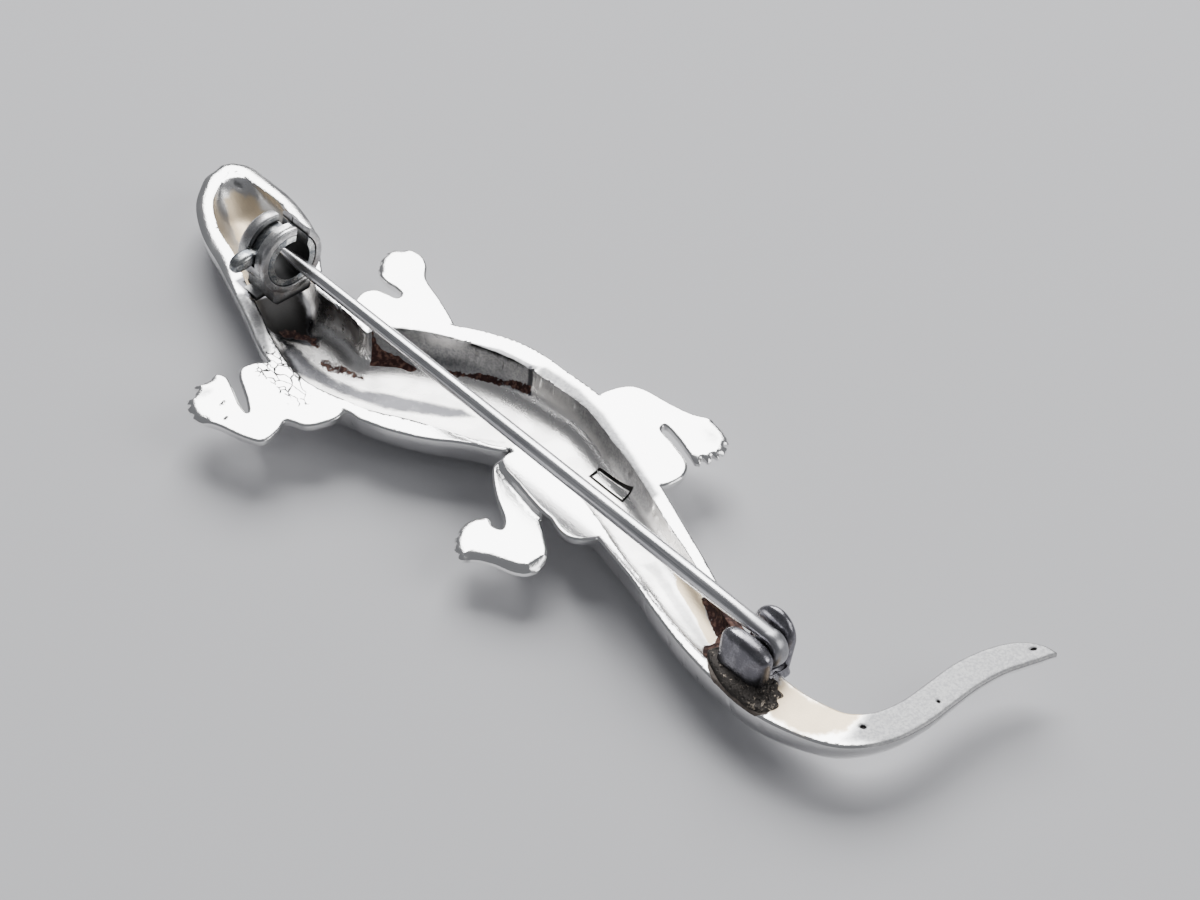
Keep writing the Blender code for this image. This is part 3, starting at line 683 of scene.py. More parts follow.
@dataclass(frozen=True)
class CastSilver:
    """Polished silver with a grey hollow, cream bloom, brown tarnish and black pits, with painted shade:
    black lines along the hollow's edges and grey to black shade under the catch and on the hollow's walls.

    Attributes:
        polished: colour of the buffed flats.
        hollow: colour of the unpolished hollow.
        cream: colour of the pickling bloom.
        brown: colour of the tarnish.
        soot: colour in pits and cracks, of the painted black shade lines along the hollow's edges, and of
            the deepest patina, painted near-black shade under the catch.
        patina: colour of the grey patina, which is partly painted shade under the catch and down the
            hollow's walls.
    """

    polished: tuple = (0.93, 0.925, 0.92)
    hollow: tuple = (0.80, 0.785, 0.77)
    cream: tuple = (0.93, 0.76, 0.53)
    brown: tuple = (0.040, 0.020, 0.019)
    soot: tuple = (0.012, 0.011, 0.011)
    patina: tuple = (0.085, 0.085, 0.092)

    def cracks(self, g: Graph) -> Socket:
        """Long fine cracks: edges of cells stretched along the leg and bent by noise."""
        bent = g.add("TexNoise", in_Vector=g.spots(), in_Scale=1 / (1.3 * MM))
        warped = g.add("VectorMath", operation="MULTIPLY_ADD")
        for place, value in enumerate((bent.outputs["Color"], (0.0011, 0.0011, 0.0011), g.spots())):
            g.feed(warped.inputs[place], value)
        turned = g.add("Mapping", in_Vector=warped.outputs[0], in_Rotation=(0.0, 0.0, 0.21),
                       in_Scale=(0.42, 1.0, 1.0))
        cells = g.add("TexVoronoi", feature="DISTANCE_TO_EDGE", in_Vector=turned.outputs[0],
                      in_Scale=1 / (0.60 * MM))
        share = g.plus(g.mask(Field.CRACKLE), g.times(g.centred(g.noise(0.7)), 1.3))
        return g.times(g.band(cells.outputs["Distance"], 0.018, 0.055, 1.0, 0.0), g.band(share, 0.35, 0.55))

    def material(self) -> bpy.types.Material:
        """Node material: each mask is broken up by noise, then laid over the silver."""
        g = Graph("cast silver")
        clouds = g.noise(2.6, 4.0)
        grain = g.noise(0.16, 3.0)
        ragged = g.centred(g.noise(0.7, 6.0, rough=0.68))
        streaks = g.noise(0.9, 2.0, stretch=(0.5, 9.0, 1.0))

        def broken(name: Field, amount: float) -> Socket:
            """A mask with its edge torn by the noise."""
            return g.plus(g.mask(name), g.times(ragged, amount))

        inside = g.band(g.mask(Field.HOLLOW), 0.02, 0.30)
        cream = g.band(broken(Field.BLOOM, 0.8), 0.30, 0.75)
        brown = g.band(broken(Field.TARNISH, 0.8), 0.42, 0.54)
        soil = g.band(broken(Field.SOIL, 0.9), 0.40, 0.62)
        # Grey patina and painted shade; its deepest part paints near-black, dull, barely metallic shade
        # under the catch.
        patina = broken(Field.PATINA, 0.30)
        black = g.band(patina, 0.60, 0.95)
        # Grey satin finish, partly painted shade on the hollow's right wall.
        satin = g.band(broken(Field.SATIN, 0.3), 0.15, 0.85)
        dark = g.most(self.cracks(g), g.band(g.mask(Field.PIT), 0.25, 0.6))
        # Painted shade: the lip mask's black lines along the hollow's edges join the cracks and pits.
        dark = g.most(dark, g.band(broken(Field.LIP, 0.5), 0.35, 0.75))
        # Grey of the satin layer, far darker than the polished silver: brushed finish and partly painted
        # shade.
        brushed = g.mix(g.band(grain, 0.35, 0.65), (0.42, 0.42, 0.42), (0.30, 0.30, 0.31))
        layers = (
            # share of the layer, its colour
            (inside, g.mix(g.band(clouds, 0.35, 0.7), self.hollow, dimmed(self.hollow, 0.88))),
            (satin, brushed),
            (g.times(cream, 0.9), g.mix(g.band(clouds, 0.3, 0.7), self.cream, dimmed(self.cream, 0.86))),
            # Grey patina with painted shade, then the painted near-black shade under the catch.
            (g.band(patina, 0.10, 0.48), self.patina),
            (black, self.soot),
            (brown, g.mix(g.band(g.noise(0.35), 0.45, 0.7), self.brown, (0.17, 0.095, 0.075))),
            (soil, g.mix(g.noise(0.22, 5.0), (0.03, 0.026, 0.023), (0.20, 0.17, 0.15))),
            (dark, self.soot),
        )
        colour = self.polished
        for share, over in layers:
            colour = g.mix(share, colour, over)
        rough = g.band(clouds, 0.3, 0.75, 0.13, 0.21)
        for share, over in ((inside, g.band(clouds, 0.3, 0.75, 0.22, 0.33)), (g.most(cream, satin), 0.52),
                            (black, 0.45), (g.most(brown, soil), 0.50)):
            rough = g.blend(share, rough, over)
        stain = g.most(brown, g.times(soil, 0.8))
        film = g.most(stain, black)
        skin = g.bump(grain, 0.010, in_Normal=g.bump(streaks, 0.004))
        crust = g.plus(g.times(stain, ragged), g.times(dark, -1.2))
        return g.surface(
            Base_Color=colour, Roughness=rough, Metallic=g.band(film, 0.0, 1.0, 1.0, 0.08),
            Specular_IOR_Level=g.band(film, 0.0, 1.0, 0.5, 0.06),
            Normal=g.bump(crust, 0.045, in_Normal=skin))


@dataclass(frozen=True)
class DarkMetal:
    """Tumbled findings metal: grey with darker clouds, worn light patches and small dents, and painted
    near-black shade where the recess mask is high.

    Attributes:
        name: the material's name.
        light: colour of the worn metal.
        dark: colour of the darkened metal.
        rough: lowest and highest roughness.
        cloud_mm: size of the clouds.
        dents: depth of the dents in mm.
        brown: share of brown in the dark clouds.
    """

    name: str
    light: tuple = (0.78, 0.78, 0.77)
    dark: tuple = (0.40, 0.40, 0.41)
    rough: tuple = (0.24, 0.40)
    cloud_mm: float = 1.1
    dents: float = 0.012
    brown: float = 0.25

    def material(self) -> bpy.types.Material:
        """Node material: two clouds of colour, with scratches and dents in the bump."""
        g = Graph(self.name)
        clouds = g.noise(self.cloud_mm, 5.0, rough=0.6)
        specks = g.noise(0.12, 3.0)
        scratch = g.noise(0.5, 2.0, stretch=(1.0, 12.0, 12.0))
        worn = g.band(g.plus(clouds, g.times(g.centred(specks), 0.35)), 0.38, 0.66)
        tint = tuple(c * k for c, k in zip(self.dark, (1.35, 1.0, 0.78)))
        shadow = g.mix(g.band(g.noise(0.8, 4.0), 0.5, 0.7, 0.0, self.brown), self.dark, tint)
        bright = tuple(min(1.0, c) for c in dimmed(self.light, 1.5))
        colour = g.mix(g.band(scratch, 0.62, 0.75, 0.0, 0.5), g.mix(worn, shadow, self.light), bright)
        # Painted shade: near-black, rougher and less metallic where the recess mask is high, in the bores
        # and under the drum.
        recess = g.band(g.mask(Field.RECESS), 0.45, 0.95)
        rough = g.band(clouds, 0.3, 0.7, self.rough[1], self.rough[0])
        dented = g.bump(g.noise(0.45, 2.0), self.dents)
        return g.surface(
            Base_Color=g.mix(recess, colour, (0.010, 0.010, 0.011)), Roughness=g.blend(recess, rough, 0.6),
            Metallic=g.band(recess, 0.0, 1.0, 1.0, 0.3), Normal=g.bump(specks, 0.006, in_Normal=dented))


@dataclass(frozen=True)
class DrawnWire:
    """Satin wire with fine lines drawn along it, and a dull loop that fades out.

    Attributes:
        light: colour of the brighter lines.
        dark: colour of the darker lines.
        loop: where along X the loop's dullness begins to fade and where it ends, in metres.
    """

    light: tuple = (0.92, 0.92, 0.93)
    dark: tuple = (0.60, 0.60, 0.62)
    loop: tuple = (-0.0262, -0.0225)

    def material(self) -> bpy.types.Material:
        """Node material: noise stretched along the wire for colour, roughness and bump."""
        g = Graph("drawn pin wire")
        lines = g.noise(0.11, 2.0, stretch=(0.02, 1.0, 1.0))
        patches = g.noise(3.5, 4.0, stretch=(0.5, 1.0, 1.0))
        loop = g.band(g.add("SeparateXYZ", in_Vector=g.spots()).outputs[0], *self.loop, 1.0, 0.0)
        drawn = g.band(g.plus(g.times(lines, 0.6), g.times(patches, 0.4)), 0.38, 0.62)
        dull = g.mix(g.noise(0.8, 4.0), (0.36, 0.36, 0.38), (0.16, 0.16, 0.18))
        return g.surface(
            Base_Color=g.mix(g.times(loop, 0.75), g.mix(drawn, self.dark, self.light), dull),
            Roughness=g.blend(loop, g.band(patches, 0.3, 0.7, 0.22, 0.30), 0.40),
            Normal=g.bump(lines, 0.004, in_Normal=g.bump(g.noise(0.7), 0.006)))


@dataclass(frozen=True)
class PittedSolder:
    """Dark brown-grey solder, crusted and pitted, a little brighter at its tail end.

    Attributes:
        crust: colour of the solder.
        worn: colour of its bright worn points.
        worn_end: where along X the brighter end begins to fade and where it ends, in metres.
    """

    crust: tuple = (0.060, 0.054, 0.050)
    worn: tuple = (0.62, 0.53, 0.43)
    worn_end: tuple = (-0.0288, -0.0274)

    def material(self) -> bpy.types.Material:
        """Node material: pits from cells, bright points where the noise peaks."""
        g = Graph("pitted solder")
        lumps = g.noise(0.42, 6.0, rough=0.7)
        fine = g.noise(0.13, 4.0, rough=0.6)
        pits = g.add("TexVoronoi", in_Vector=g.spots(), in_Scale=1 / (0.33 * MM))
        end = g.band(g.add("SeparateXYZ", in_Vector=g.spots()).outputs[0], *self.worn_end, 0.05, 0.0)
        specks = g.plus(g.times(lumps, 0.6), g.times(fine, 0.4))
        bright = g.band(g.plus(specks, end), 0.57, 0.66)
        pit = g.band(pits.outputs["Distance"], 0.10, 0.36)
        return g.surface(
            Base_Color=g.mix(bright, self.crust, self.worn), Metallic=0.85,
            Roughness=g.band(bright, 0.0, 1.0, 0.52, 0.26),
            Normal=g.bump(pit, 0.05, in_Normal=g.bump(lumps, 0.06)))


@dataclass
class Catch:
    """The safety catch's drum, its turning sleeve with the lever, and the foot under it.

    Sizes are in mm, and the centre is in Y and Z. The drum's and sleeve's walls and places
    are the CAD's; the mouth's clearance, the lever and the foot follow the photo.
    """

    first: float = 48.3
    length: float = 3.2
    centre: tuple = (0.6, 6.4)
    bore: float = 2.1
    dome_start: float = 2.36
    dome_fall: float = 0.32
    sleeve_outer: float = 2.05
    sleeve_bore: float = 1.55
    sleeve_inset: float = 0.06
    slot: tuple = (1.05, 2.12)
    slot_start_deg: float = 0.0
    slit_start: float = 1.97
    slit_end_deg: float = 168.0
    rest_deg: float = 15.0
    pin_z: float = 5.8
    pin_radius: float = 0.475
    clearance: float = 0.09
    lean_deg: float = 12.0
    hug: float = 2.32
    hug_half: float = 1.36
    strap: tuple = (49.6, 51.1, -1.9, 3.15, 3.30, 3.66)
    saddle: tuple = (
        # height, half width to the left, and to the right of the drum's middle
        (4.55, 1.78, 1.42), (4.25, 1.82, 1.36), (3.95, 1.85, 1.32), (3.75, 1.92, 1.38),
        (3.50, 1.90, 1.40), (3.20, 1.60, 1.20),
    )
    lever: tuple = (
        # distance from the drum's middle, thickness, width
        (1.85, 0.84, 0.90), (2.10, 0.88, 0.93), (2.40, 0.97, 0.95), (2.62, 1.04, 0.96),
        (2.74, 1.07, 1.10), (2.95, 1.10, 1.20), (3.30, 1.10, 1.22), (3.65, 1.02, 1.16),
        (3.90, 0.88, 1.00), (4.04, 0.66, 0.76), (4.12, 0.40, 0.46), (4.15, 0.12, 0.14),
    )

    def mouth_turns(self, radius: Array) -> list[Array]:
        """Turns at which the mouth's two parallel sides cross each radius, in radians.

        A side lies where radius times cos(turn - lean) is the side's offset.
        """
        lean = math.radians(self.lean_deg)
        offset = -self.centre[0] * math.cos(lean) + (self.pin_z - self.centre[1]) * math.sin(lean)
        half = self.pin_radius + self.clearance
        return [lean + np.arccos(np.clip((offset + side) / radius, -1, 1)) for side in (half, -half)]

    def turns(self, radius: Array, marks: tuple, steps: tuple) -> Array:
        """Turns from the mouth's far side right round to its near side, row by column.

        Args:
            radius: one radius per row.
            marks: turns in degrees that columns must hit, in rising order.
            steps: columns between each pair of marks.

        Returns:
            Turns in radians.
        """
        low, high = self.mouth_turns(radius)
        knots = [high, *(np.full_like(radius, math.radians(m)) for m in marks), low + 2 * math.pi]
        parts = []
        for begin, end, count in zip(knots[:-1], knots[1:], steps):
            share = np.arange(count) / count
            parts.append(begin[:, None] + (end - begin)[:, None] * share)
        return np.hstack([*parts, knots[-1][:, None]])

    def shell(self, x: Array, outer: Array, inner: Array, solid: Array, marks: tuple = (),
              steps: tuple = (120,)) -> tuple[Array, list]:
        """A wall round the drum's axis that is open at the mouth; see turns for the last two."""
        walls = [(radius, self.turns(radius, marks, steps)) for radius in (outer, inner)]
        return windowed_shell(self.first + x, walls, solid, self.centre)

    def build_drum(self) -> Thing:
        """The fixed drum: a proud front lip, a slot for the lever and a domed rear ring."""
        x = np.array([
            0, 0.03, 0.10, 0.22, 0.34, 0.44, 0.62, 0.85, self.slot[0], 1.4, 1.75, self.slit_start,
            self.slot[1], 2.22, self.dome_start, 2.55, 2.74, 2.90, 3.02, 3.11, 3.17, self.length])
        outer = np.interp(x, [0, 0.03, 0.10, 0.34, 0.44, 0.62, 1.05, 2.12, 2.22, 2.36], [
            2.50, 2.57, 2.62, 2.62, 2.55, 2.53, 2.55, 2.53, 2.60, 2.63])
        dome = ramp(x, self.dome_start, self.length - self.dome_start)
        outer = outer - self.dome_fall * (1 - np.sqrt(1 - 0.985 * dome ** 2.4))
        inner = np.interp(x, [0, 0.03, 0.12, 3.0, 3.2], [2.12, 2.11, self.bore, self.bore, 2.14])
        steps = (10, 84, 46)
        solid = np.ones((len(x) - 1, sum(steps)), bool)
        middle = (x[:-1] + x[1:]) / 2
        for start, cells in ((self.slot[0], range(steps[0] + steps[1], sum(steps))),
                             (self.slit_start, range(steps[0]))):
            solid[np.ix_((middle > start) & (middle < self.slot[1]), cells)] = False
        marks = (self.slit_end_deg, 360.0 + self.slot_start_deg)
        verts, faces = self.shell(x, outer, inner, solid, marks, steps)
        # Painted shade: the drum's inner wall darkens behind its front face.
        deep = np.repeat([0.0, 1.0], len(verts) // 2) * ramp(verts[:, 0], self.first, 0.15)
        made = make_piece("catch_drum", verts, faces, "brooch", 42, {Field.RECESS: deep})
        round_edges(made, 0.05)
        return made

    def build_foot(self) -> Thing:
        """The saddle that hugs the drum and hangs into the hollow, on a strap over the rims.

        The saddle's top is an arc inside the drum's wall, its sides follow the section table.
        """
        height, left_half, right_half = np.array(self.saddle).T
        y, z = self.centre
        arc = np.linspace(1.0, -1.0, 15) * self.hug_half
        outline = np.vstack([
            np.column_stack([y + left_half, height])[::-1],
            np.column_stack([y + arc, z - np.sqrt(self.hug ** 2 - arc ** 2)]),
            np.column_stack([y - right_half, height]),
        ])
        rings = np.stack([
            np.column_stack([np.full(len(outline), self.first + place), outline])
            for place in (0.05, 1.1, 2.1, self.length - 0.05)
        ])
        verts, faces = capped_tube(rings)
        x_low, x_high, left, right, low, high = self.strap
        band = np.array([[left, low], [left, high], [right, high], [right, low]])
        flat = np.stack([np.column_stack([np.full(4, x), band]) for x in (x_low, x_high)])
        more, strap = capped_tube(flat, len(verts))
        verts = np.vstack([verts, more])
        # Painted shade: the saddle darkens towards its bottom, under the drum.
        made = make_piece("catch_foot", verts, faces + strap, "brooch", 35,
                          {Field.RECESS: np.clip(4.35 - verts[:, 2], 0, 1)})
        round_edges(made, 0.07)
        return made

    def build_sleeve(self) -> Thing:
        """The turning sleeve with its lever, a rounded tab that thickens to the tip."""
        x = np.array([0.0, 0.05, 0.5, 1.0, 1.6, 2.2, 2.6, 3.03, 3.08]) + self.sleeve_inset
        outer = np.full(len(x), self.sleeve_outer)
        outer[[0, -1]] -= 0.04
        verts, faces = self.shell(x, outer, np.full(len(x), self.sleeve_bore),
                                  np.ones((len(x) - 1, 120), bool))
        reach, thick, broad = smooth_rows(self.lever, 3).T[:, :, None]
        cut, rise = squared(round_turn(32), 0.6)
        height = 0.5 * thick * rise + 0.10 - 0.62 * ramp(reach, 2.3, 1.85) ** 1.4
        turn = math.radians(self.rest_deg)
        y = self.centre[0] + reach * math.cos(turn) - height * math.sin(turn)
        z = self.centre[1] + reach * math.sin(turn) + height * math.cos(turn)
        rings = np.stack([self.first + self.length / 2 + 0.5 * broad * cut, y, z], -1)
        more, tab = capped_tube(rings, len(verts))
        # Painted shade: the sleeve's bore darkens behind its front face, and its outer wall partly.
        wall = np.repeat([0.62, 1.0], len(verts) // 2) * ramp(
            verts[:, 0], self.first + self.sleeve_inset, 0.04)
        made = make_piece("catch_sleeve_with_lever", np.vstack([verts, more]), faces + tab, "sleeve",
                          42, {Field.RECESS: np.append(wall, np.zeros(len(more)))})
        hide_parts("catch_sleeve")
        return made


@dataclass
class Hinge:
    """The two ears, the foot and solder under them, and the pin with its looped end.

    Sizes are in mm. The knuckle's, the pin's and the ears' main ones are the CAD's; the ears'
    outlines and the solder follow the photo. All but the solder and the far stem lean with
    the pin's swing.
    """

    back: float = 3.6
    pin_z: float = 5.8
    pivot_z: float = 5.1
    lean_deg: float = 12.0
    knuckle_radius: float = 1.25
    knuckle_bore: float = 0.37
    knuckle_width: float = 1.2
    play: float = 0.35
    ear_thickness: float = 0.9
    ear_length: float = 3.8
    ear_ahead: float = 0.6
    ears: dict = field(default_factory=lambda: {
        # place along the pin, length, rise over the pivot, squareness, swell of the faces
        Side.LEFT: (0.60, 4.0, 0.92, 0.84, 0.30),
        Side.RIGHT: (1.00, 3.4, 1.70, 1.00, 0.12),
    })
    pin_reach: float = 51.2
    pin_diameter: float = 1.2
    solder_height: float = 0.5
    solder_middle: tuple = (0.0, 2.0)
    solder_edge: tuple = (
        (3.0, 1.4), (3.3, 2.2), (2.6, 2.8), (1.9, 3.1), (1.1, 3.4), (0.1, 3.6), (-0.8, 3.6),
        (-1.6, 3.62), (-2.5, 3.3), (-2.85, 2.7), (-2.9, 2.1), (-2.45, 1.8), (-2.5, 1.3),
        (-1.9, 1.2), (-1.5, 0.8), (-1.0, 0.95), (-0.3, 0.8), (1.0, 0.8), (2.3, 0.9),
    )

    def lean(self, verts: Array) -> Array:
        """Tilt about the pin's line, as the CAD does."""
        turn = np.array(Matrix.Rotation(math.radians(self.lean_deg), 3, "X"))
        line = np.array([0.0, 0.0, self.pin_z])
        return (verts - line) @ turn.T + line

    def build_ear(self, side: Side) -> Thing:
        """One pillow-shaped ear: an arch over straight sides that swells from face to face.

        Its outline grows by the root of the sine across its thickness.
        """
        ahead, length, rise, square, swell = self.ears[side]
        middle = side.value * (self.knuckle_width / 2 + self.play + self.ear_thickness / 2)
        cut, up = squared(np.linspace(0, math.pi, 41), square)
        low = self.back - 0.8
        x = length / 2 * np.array([0.98, *cut, -0.98])
        z = np.array([low, *(self.pivot_z + rise * up), low])
        centre_z = self.pivot_z - 0.55
        across = np.linspace(0.015, math.pi - 0.015, 37)
        place = middle - squared(across, 0.88)[0] * (self.ear_thickness / 2 + swell)
        rings = np.stack([
            np.column_stack([ahead + x * k, np.full(len(x), y), centre_z + (z - centre_z) * k])
            for y, k in zip(place, np.sqrt(np.sin(across)))
        ])
        verts, faces = capped_tube(rings)
        return make_piece(f"hinge_ear_{side.name.lower()}", self.lean(verts), faces, "brooch",
                          60)

    def build_foot(self) -> Thing:
        """The small foot that joins the ears under the knuckle, flared where it is soldered."""
        outer = self.knuckle_width / 2 + self.play + self.ear_thickness
        top = self.pivot_z - self.knuckle_radius - 0.2
        cut, rise = squared(round_turn(48), 0.4)
        x, y = cut * self.ear_length / 2, rise * (outer - 0.25)
        sections = ((top, 0.88), (top - 0.12, 0.98), (self.back + 0.02, 1.06), (self.back - 0.5, 1.20))
        rings = np.stack([
            np.column_stack([self.ear_ahead + 0.25 + 0.86 * x * k, y * k + 0.15, np.full(len(x), z)])
            for z, k in sections
        ])
        verts, faces = capped_tube(rings)
        return make_piece("hinge_foot", self.lean(verts), faces, "brooch", 35)

    def build_solder(self) -> Thing:
        """The pitted puddle of solder: a low dome over its drawn edge, roughened by ripples.

        Height is the dome's root curve times one plus noise; the underside is sunk.
        """
        middle = np.array(self.solder_middle)
        ring = smooth_rows(self.solder_edge, 12, closed=True) - middle
        share = np.linspace(0.0, 1.0, 40)[:, None] ** 0.8
        plan = middle + share[:, :, None] * ring
        flat = plan.reshape(-1, 2)
        rough = (0.55 * ripple(flat, 0.9, 3) + 0.45 * ripple(flat, 0.33, 4)).reshape(plan.shape[:2])
        crusty = np.clip(0.25 - 0.35 * plan[:, :, 0], 0.15, 1.0)
        dome = np.sqrt(np.maximum(1 - share ** 2, 0))
        top = self.back + self.solder_height * dome * (0.80 + 0.34 * crusty * rough) + 0.02
        under = np.column_stack([middle + 0.72 * ring, np.full(len(ring), self.back - 0.9)])
        verts, faces = capped_tube(np.vstack([np.dstack([plan, top]), under[None]])[::-1])
        return make_piece("hinge_solder", verts, faces, "brooch", 60, merge=1e-6)

    def build_pin(self) -> Thing:
        """The pin: a round taper that swells into a flattened wire loop round the rivet.

        The loop is an oval section carried round the pivot; the stem rises into its top.
        """
        loop, angle = round_turn(72)[:, None], round_turn(28)
        thick = (self.knuckle_radius - self.knuckle_bore) / 2
        ring = (self.knuckle_radius + self.knuckle_bore) / 2
        cut, wide = squared(angle, 0.8)
        radial = ring + thick * cut
        x, z = radial * np.cos(loop), self.pivot_z + radial * np.sin(loop)
        y = np.broadcast_to(wide * self.knuckle_width / 2, x.shape)
        knuckle = self.lean(np.stack([x, y, z], -1).reshape(-1, 3))
        along = np.concatenate([np.linspace(0.0, 4.6, 30), np.linspace(5.0, 48.0, 60),
                                np.linspace(48.2, self.pin_reach, 26)])[:, None]
        half = np.interp(along / self.pin_reach, *np.array(PIN_TAPER).T) * self.pin_diameter / 2
        near = fade(along, 3.6)
        ease = near ** 2 * (3 - 2 * near)
        tall = half * (1 - ease) + thick * ease
        broad = half * (1 - ease) + 0.49 * self.knuckle_width * ease
        rise = (self.pivot_z + ring - self.pin_z) * ease
        stem = np.stack([
            np.broadcast_to(along, (len(along), len(angle))),
            broad * np.sin(angle),
            self.pin_z + rise + tall * np.cos(angle),
        ], -1)
        stem = stem + (self.lean(stem) - stem) * ease[:, :, None]
        more, shank = capped_tube(stem, len(knuckle))
        faces = ring_faces(*x.shape, closed=True) + shank
        made = make_piece("brooch_pin", np.vstack([knuckle, more]), faces, "pin", 50)
        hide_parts("pin_stem")
        return made


@dataclass
class Casting:
    """The hollow-backed salamander, legs and all, as two height maps over one plan.

    Sizes are in mm. The overall ones are the CAD's; edges, legs and marks follow the photo.
    The back and the face are heights over one triangulation of the plan, joined by a wall
    round its edge. The fields head_soft, head_edge, nose_end and shin_rise hold a place
    along the pin and the length of a slope; faint_pits holds the place beyond which pits
    are less dark, and their strength there.
    """

    length: float = 75.0
    span: float = 27.5
    body_width: float = 11.8
    relief: float = 3.6
    rim_width: float = 1.0
    hollow_depth: float = 2.8
    dome_power: float = 2.4
    hollow_power: float = 2.9
    ridge_flat: float = 0.97
    head_soft: tuple = (52.5, 4.0)
    head_edge: tuple = (51.0, 4.0)
    nose_end: tuple = (62.4, 3.0)
    leg_reach: float = 10.0
    back: float = 3.6
    edge_round: float = 0.22
    edge_drop: float = 0.10
    lip_drop: float = 0.03
    brim_near: float = 0.05
    leg_wall: float = 0.42
    leg_crown: float = 0.50
    crown_reach: float = 1.5
    least_wall: float = 0.22
    shin_depth: float = 0.5
    shin_rise: tuple = (25.6, 2.6)
    ledge_width: float = 0.24
    chamfer: tuple = ((16.3, 4.4), (16.3, 5.6), (16.8, 6.3), (18.7, 7.1), (19.7, 7.8))
    chamfer_depth: float = 0.34
    chamfer_width: float = 0.55
    pit_depth: float = 0.13
    faint_pits: tuple = (55.0, 0.25)
    toe_fall: float = 0.20
    toe_reach: float = 0.75
    mark: Spot = Spot(20.1, -4.6, 1.70, 0.40, -2)
    mark_depth: float = 0.05

    def __post_init__(self) -> None:
        """Work out the dense spine and the hollow's two edges once."""
        rows = np.asarray(SPINE, float)
        rows[:, 0] *= self.length
        rows[:, 1] *= self.span
        self.spine = smooth_rows(rows, 10)
        ahead = np.gradient(self.spine[:, :2], axis=0)
        ahead /= np.linalg.norm(ahead, axis=1)[:, None]
        self.sideways = np.column_stack([ahead[:, 1], -ahead[:, 0]])
        self.half = np.maximum(self.spine[:, 2], 0.01) * self.body_width / 2
        self.left_in = self.half - self.spine[:, 4] * self.rim_width
        self.right_in = self.half - self.spine[:, 5] * self.rim_width
        self.open = (self.spine[:, 6] > 0.01) & ((self.left_in + self.right_in) / 2 > 0.25)
        self.brims = [self.off_spine(edge)[self.open] for edge in (self.left_in, -self.right_in)]

    def off_spine(self, offset: Array) -> Array:
        """Plan points a distance to the side of every station."""
        return self.spine[:, :2] + self.sideways * offset[:, None]

    def smooth_leg(self, leg: Leg, steps: int) -> Array:
        """A leg's smooth outline, before its toes are cut."""
        root = np.array([leg.root[0] * self.length, leg.root[1] * self.span])
        return root + self.leg_reach * smooth_rows(leg.outline, steps, closed=True)

    def leg_ring(self, leg: Leg) -> Array:
        """A leg's dense outline with its toes.

        Toes are nicks, bell curves cut inwards along the outline, and a fine ripple.
        """
        steps = 12
        ring = self.smooth_leg(leg, steps)
        mark = np.arange(len(ring)) / steps
        inward = left_normals(ring) * np.sign(signed_area(ring))
        gone = np.append(0.0, np.cumsum(np.linalg.norm(np.diff(ring, axis=0), axis=1)))
        cut = np.zeros(len(ring))
        for place, width, depth in leg.nicks:
            away = gone - np.interp(place, mark, gone)
            cut = np.maximum(cut, depth * np.exp(-((away / width) ** 4)))
        if leg.nicks:
            low, high = np.interp(leg.toes, mark, gone)
            ragged = ramp(gone, low, 0.4) * slope_down(gone, high, 0.4)
            cut = cut + ragged * 0.035 * np.sin(gone * 21.0) * np.sin(gone * 8.3 + 1.0)
        return ring + inward * cut[:, None]

    def outlines(self) -> list[Array]:
        """The body's strip and the legs in the order of LEGS, anticlockwise."""
        strip = np.vstack([self.off_spine(self.half), self.off_spine(-self.half)[::-1]])
        rings = [strip, *(self.leg_ring(leg) for leg in LEGS)]
        return [ring if signed_area(ring) > 0 else ring[::-1] for ring in rings]

    def fill_points(self, rings: list[Array]) -> Array:
        """Points between the outlines: rings inside each, rows across the hollow, a grid.

        Args:
            rings: the outlines.

        Returns:
            Plan points, none too close to another.
        """
        dense = []
        for ring in rings:
            beside_ledge = (-0.13, -0.22, -0.32) if ring is rings[THIGH] else ()
            for gap in (-0.05, 0.045, 0.10, 0.16, 0.23, 0.34, 0.5, *beside_ledge):
                dense.append(ring + left_normals(ring) * gap)
        middle, reach = (self.left_in - self.right_in) / 2, (self.left_in + self.right_in) / 2
        for share in (0.99, 0.965, 0.93, 0.88, 0.8, 0.7, 0.57, 0.42, 0.26, 0.1):
            for side in (-1, 1):
                dense.append(self.off_spine(middle + side * share * reach)[self.open])
        for offset in (self.left_in + 0.06, -self.right_in - 0.06):
            dense.append(self.off_spine(offset)[self.open])
        turn = round_turn(14)
        for pit in PITS:
            for size in (0.5, 1.0, 1.6, 2.3):
                dense.append(pit.spread(size * np.cos(turn), size * np.sin(turn)))
        along, across = np.meshgrid(np.linspace(-1.35, 1.35, 64), np.linspace(-1.6, 1.6, 22))
        dense.append(self.mark.spread(along, across))
        spots = np.vstack(dense)
        least, pitch, clear = 0.04, 0.27, 0.2
        spots = spots[np.unique(np.round(spots / least).astype(int), axis=0, return_index=True)[1]]
        low, high = np.vstack(rings).min(0), np.vstack(rings).max(0)
        x, y = np.meshgrid(np.arange(low[0], high[0], pitch), np.arange(low[1], high[1], pitch))
        y = y + pitch / 2 * (np.arange(x.shape[1]) % 2)
        grid = np.column_stack([x.ravel(), y.ravel()])

        def cells(points: Array) -> Array:
            """One number for the cell that a point lies in."""
            return np.round(points / clear).astype(int) @ (100003, 1)

        return np.vstack([spots, grid[~np.isin(cells(grid), cells(np.vstack([spots, *rings])))]])

